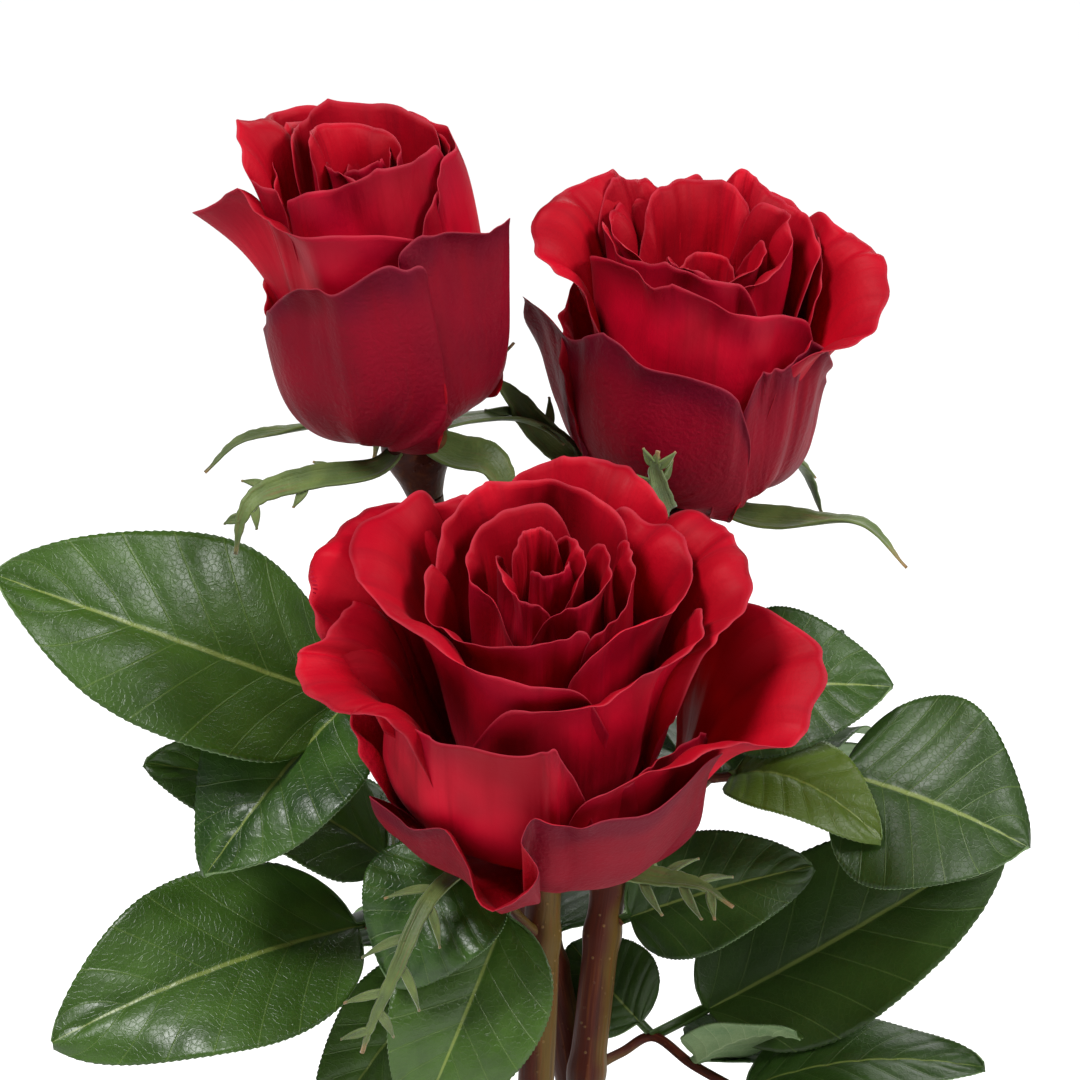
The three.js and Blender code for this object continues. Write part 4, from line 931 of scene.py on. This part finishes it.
def leaflet(stalk, start, tip, width, face, arch, sway, bare, number):
    """One leaflet: a grid from its stalk to its tip, folded, waved, veined and toothed."""
    draw = np.random.default_rng(100 + number)
    root = np.array(stalk[start], float)
    run = np.array(tip) - root
    length = np.linalg.norm(run)
    ahead = run / length
    up = np.array(face) - ahead * (np.array(face) @ ahead)
    up /= np.linalg.norm(up)
    side = np.cross(up, ahead)
    along = np.linspace(0, 1, 4 * TEETH + 9)[:, None]
    across = np.linspace(-1, 1, 33)[None, :]
    blade_place = np.clip((along - bare / length) / (1 - bare / length), 0, 1)
    half = width / 2 * np.sin(math.pi * blade_place**BLADE_WIDEST) ** BLADE_FULLNESS
    tooth = (blade_place * TEETH) % 1 * (blade_place > 0.12) * (blade_place < 0.97)
    edge = smooth((np.abs(across) - 0.86) / 0.14)
    half = np.maximum(0.6, half) + edge * tooth * TOOTH_HEIGHT
    # Veins: the side veins leave the midrib at even steps and curve forwards to the margin.
    vein = VEIN_PAIRS * (blade_place + VEIN_START - VEIN_SLANT * np.abs(across) + VEIN_CURVE * across**2)
    dip = np.abs((vein % 1) - 0.5)
    relief = 0.24 * np.exp(-((dip - 0.5) / 0.16) ** 2) * (1 - edge) * smooth(half / 5)
    groove = 0.45 * np.exp(-((across * half / 1.3) ** 2))
    lags = draw.uniform(0, 2 * math.pi, 4)
    wave = 0.05 * width * (np.sin(6 * blade_place + lags[0] + 1.2 * across)
                           + 0.5 * np.sin(11 * blade_place + lags[1]))
    lift = (4 * arch * along * (1 - along) + BLADE_FOLD * half * np.abs(across) - 0.05 * half * across**2
            + wave * np.abs(across) ** 1.5 - relief - groove)
    drift = 4 * sway * along * (1 - along) + across * half
    grid = root + ahead * (along * length)[..., None] + side * drift[..., None] + up * lift[..., None]
    return sheet(grid, LEAF_THICKNESS, across, blade_place, number)


def waxy_leaf():
    """A dark glossy upper side with pale midrib and side veins and a faint net, and a dull pale back."""
    skin = Surface("leaf_wax")
    across, along, back = skin.place()
    number = skin.number()
    cloud = skin.noise(across * 1.6, along * 3.2, number * 3.1, 3)
    vein = (along + VEIN_START - abs(across) * VEIN_SLANT + across * across * VEIN_CURVE) * VEIN_PAIRS
    side_vein = abs(vein % 1 - 0.5).between(0.465, 0.5)
    midrib = abs(across).between(0.035, 0.010)
    where = skin.node("TexCoord", {}, {}, "Object")
    net = skin.node("TexVoronoi", {"feature": "DISTANCE_TO_EDGE"},
                    {"Vector": where, "Scale": 0.9 / MM}, "Distance").between(0.10, 0.02)
    tone = skin.noise(number * 4.7, number * 1.3, 0.0, 1)
    upper = skin.mix(cloud.between(0.3, 0.72), (0.011, 0.036, 0.004, 1), (0.036, 0.090, 0.009, 1))
    upper = skin.mix(tone.between(0.35, 0.65) * 0.5, upper, (0.060, 0.115, 0.010, 1))
    # Painted shade: the leaflets from FIRST_RIGHT_LEAFLET on, to the right and behind, are painted darker and
    # made less glossy.
    right_painted_shade = number.between(FIRST_RIGHT_LEAFLET - 2, FIRST_RIGHT_LEAFLET + 1)
    upper = skin.mix(right_painted_shade * 0.6, upper, (0.014, 0.034, 0.003, 1))
    young = abs(number - YOUNG_LEAFLET).between(0.6, 0.4)
    upper = skin.mix(young * 0.7, upper, (0.085, 0.135, 0.006, 1))
    upper = skin.mix(net * 0.1, upper, (0.07, 0.14, 0.02, 1))
    upper = skin.mix(side_vein * 0.35, upper, (0.13, 0.20, 0.04, 1))
    upper = skin.mix(midrib * 0.75, upper, (0.19, 0.24, 0.05, 1))
    under = skin.mix(cloud.between(0.3, 0.7), (0.11, 0.19, 0.075, 1), (0.17, 0.25, 0.11, 1))
    under = skin.mix((side_vein + midrib + net * 0.3) * 0.6, under, (0.29, 0.36, 0.18, 1))
    colour = skin.mix(back, upper, under)
    face = skin.node("BsdfPrincipled", {}, {
        "Base Color": colour,
        "Roughness": 0.26 + back * 0.3 + cloud * 0.18 + right_painted_shade * 0.1,
        "Normal": skin.bump(side_vein * 0.5 + net * 0.2 + skin.grain(0.35, 4) * 1.5, 0.12),
        "Specular IOR Level": 0.42,
    })
    through = skin.node("BsdfTranslucent", {}, {"Color": (0.12, 0.32, 0.03, 1)})
    return skin.finish(skin.node("MixShader", {}, {0: 0.12, 1: face, 2: through}))


def leaf_stalk(points, number):
    """The common stalk, thickest where it joins the stem."""
    path = spline(points, 30)
    radii = 1.0 + 0.6 * smooth(1 - np.linspace(0, 5, len(path)))
    return rod(path, radii, 12, number)


leaf_wax = waxy_leaf()
for count, (name, (stalk, *leaflets)) in enumerate(LEAVES.items()):
    blades = [leaflet(stalk, *row, LEAFLETS_APART * count + k) for k, row in enumerate(leaflets)]
    piece(name + "_blades", blades, leaf_wax, name)
    piece(name + "_stalk", [leaf_stalk(stalk, 1)], stem_bark, name)
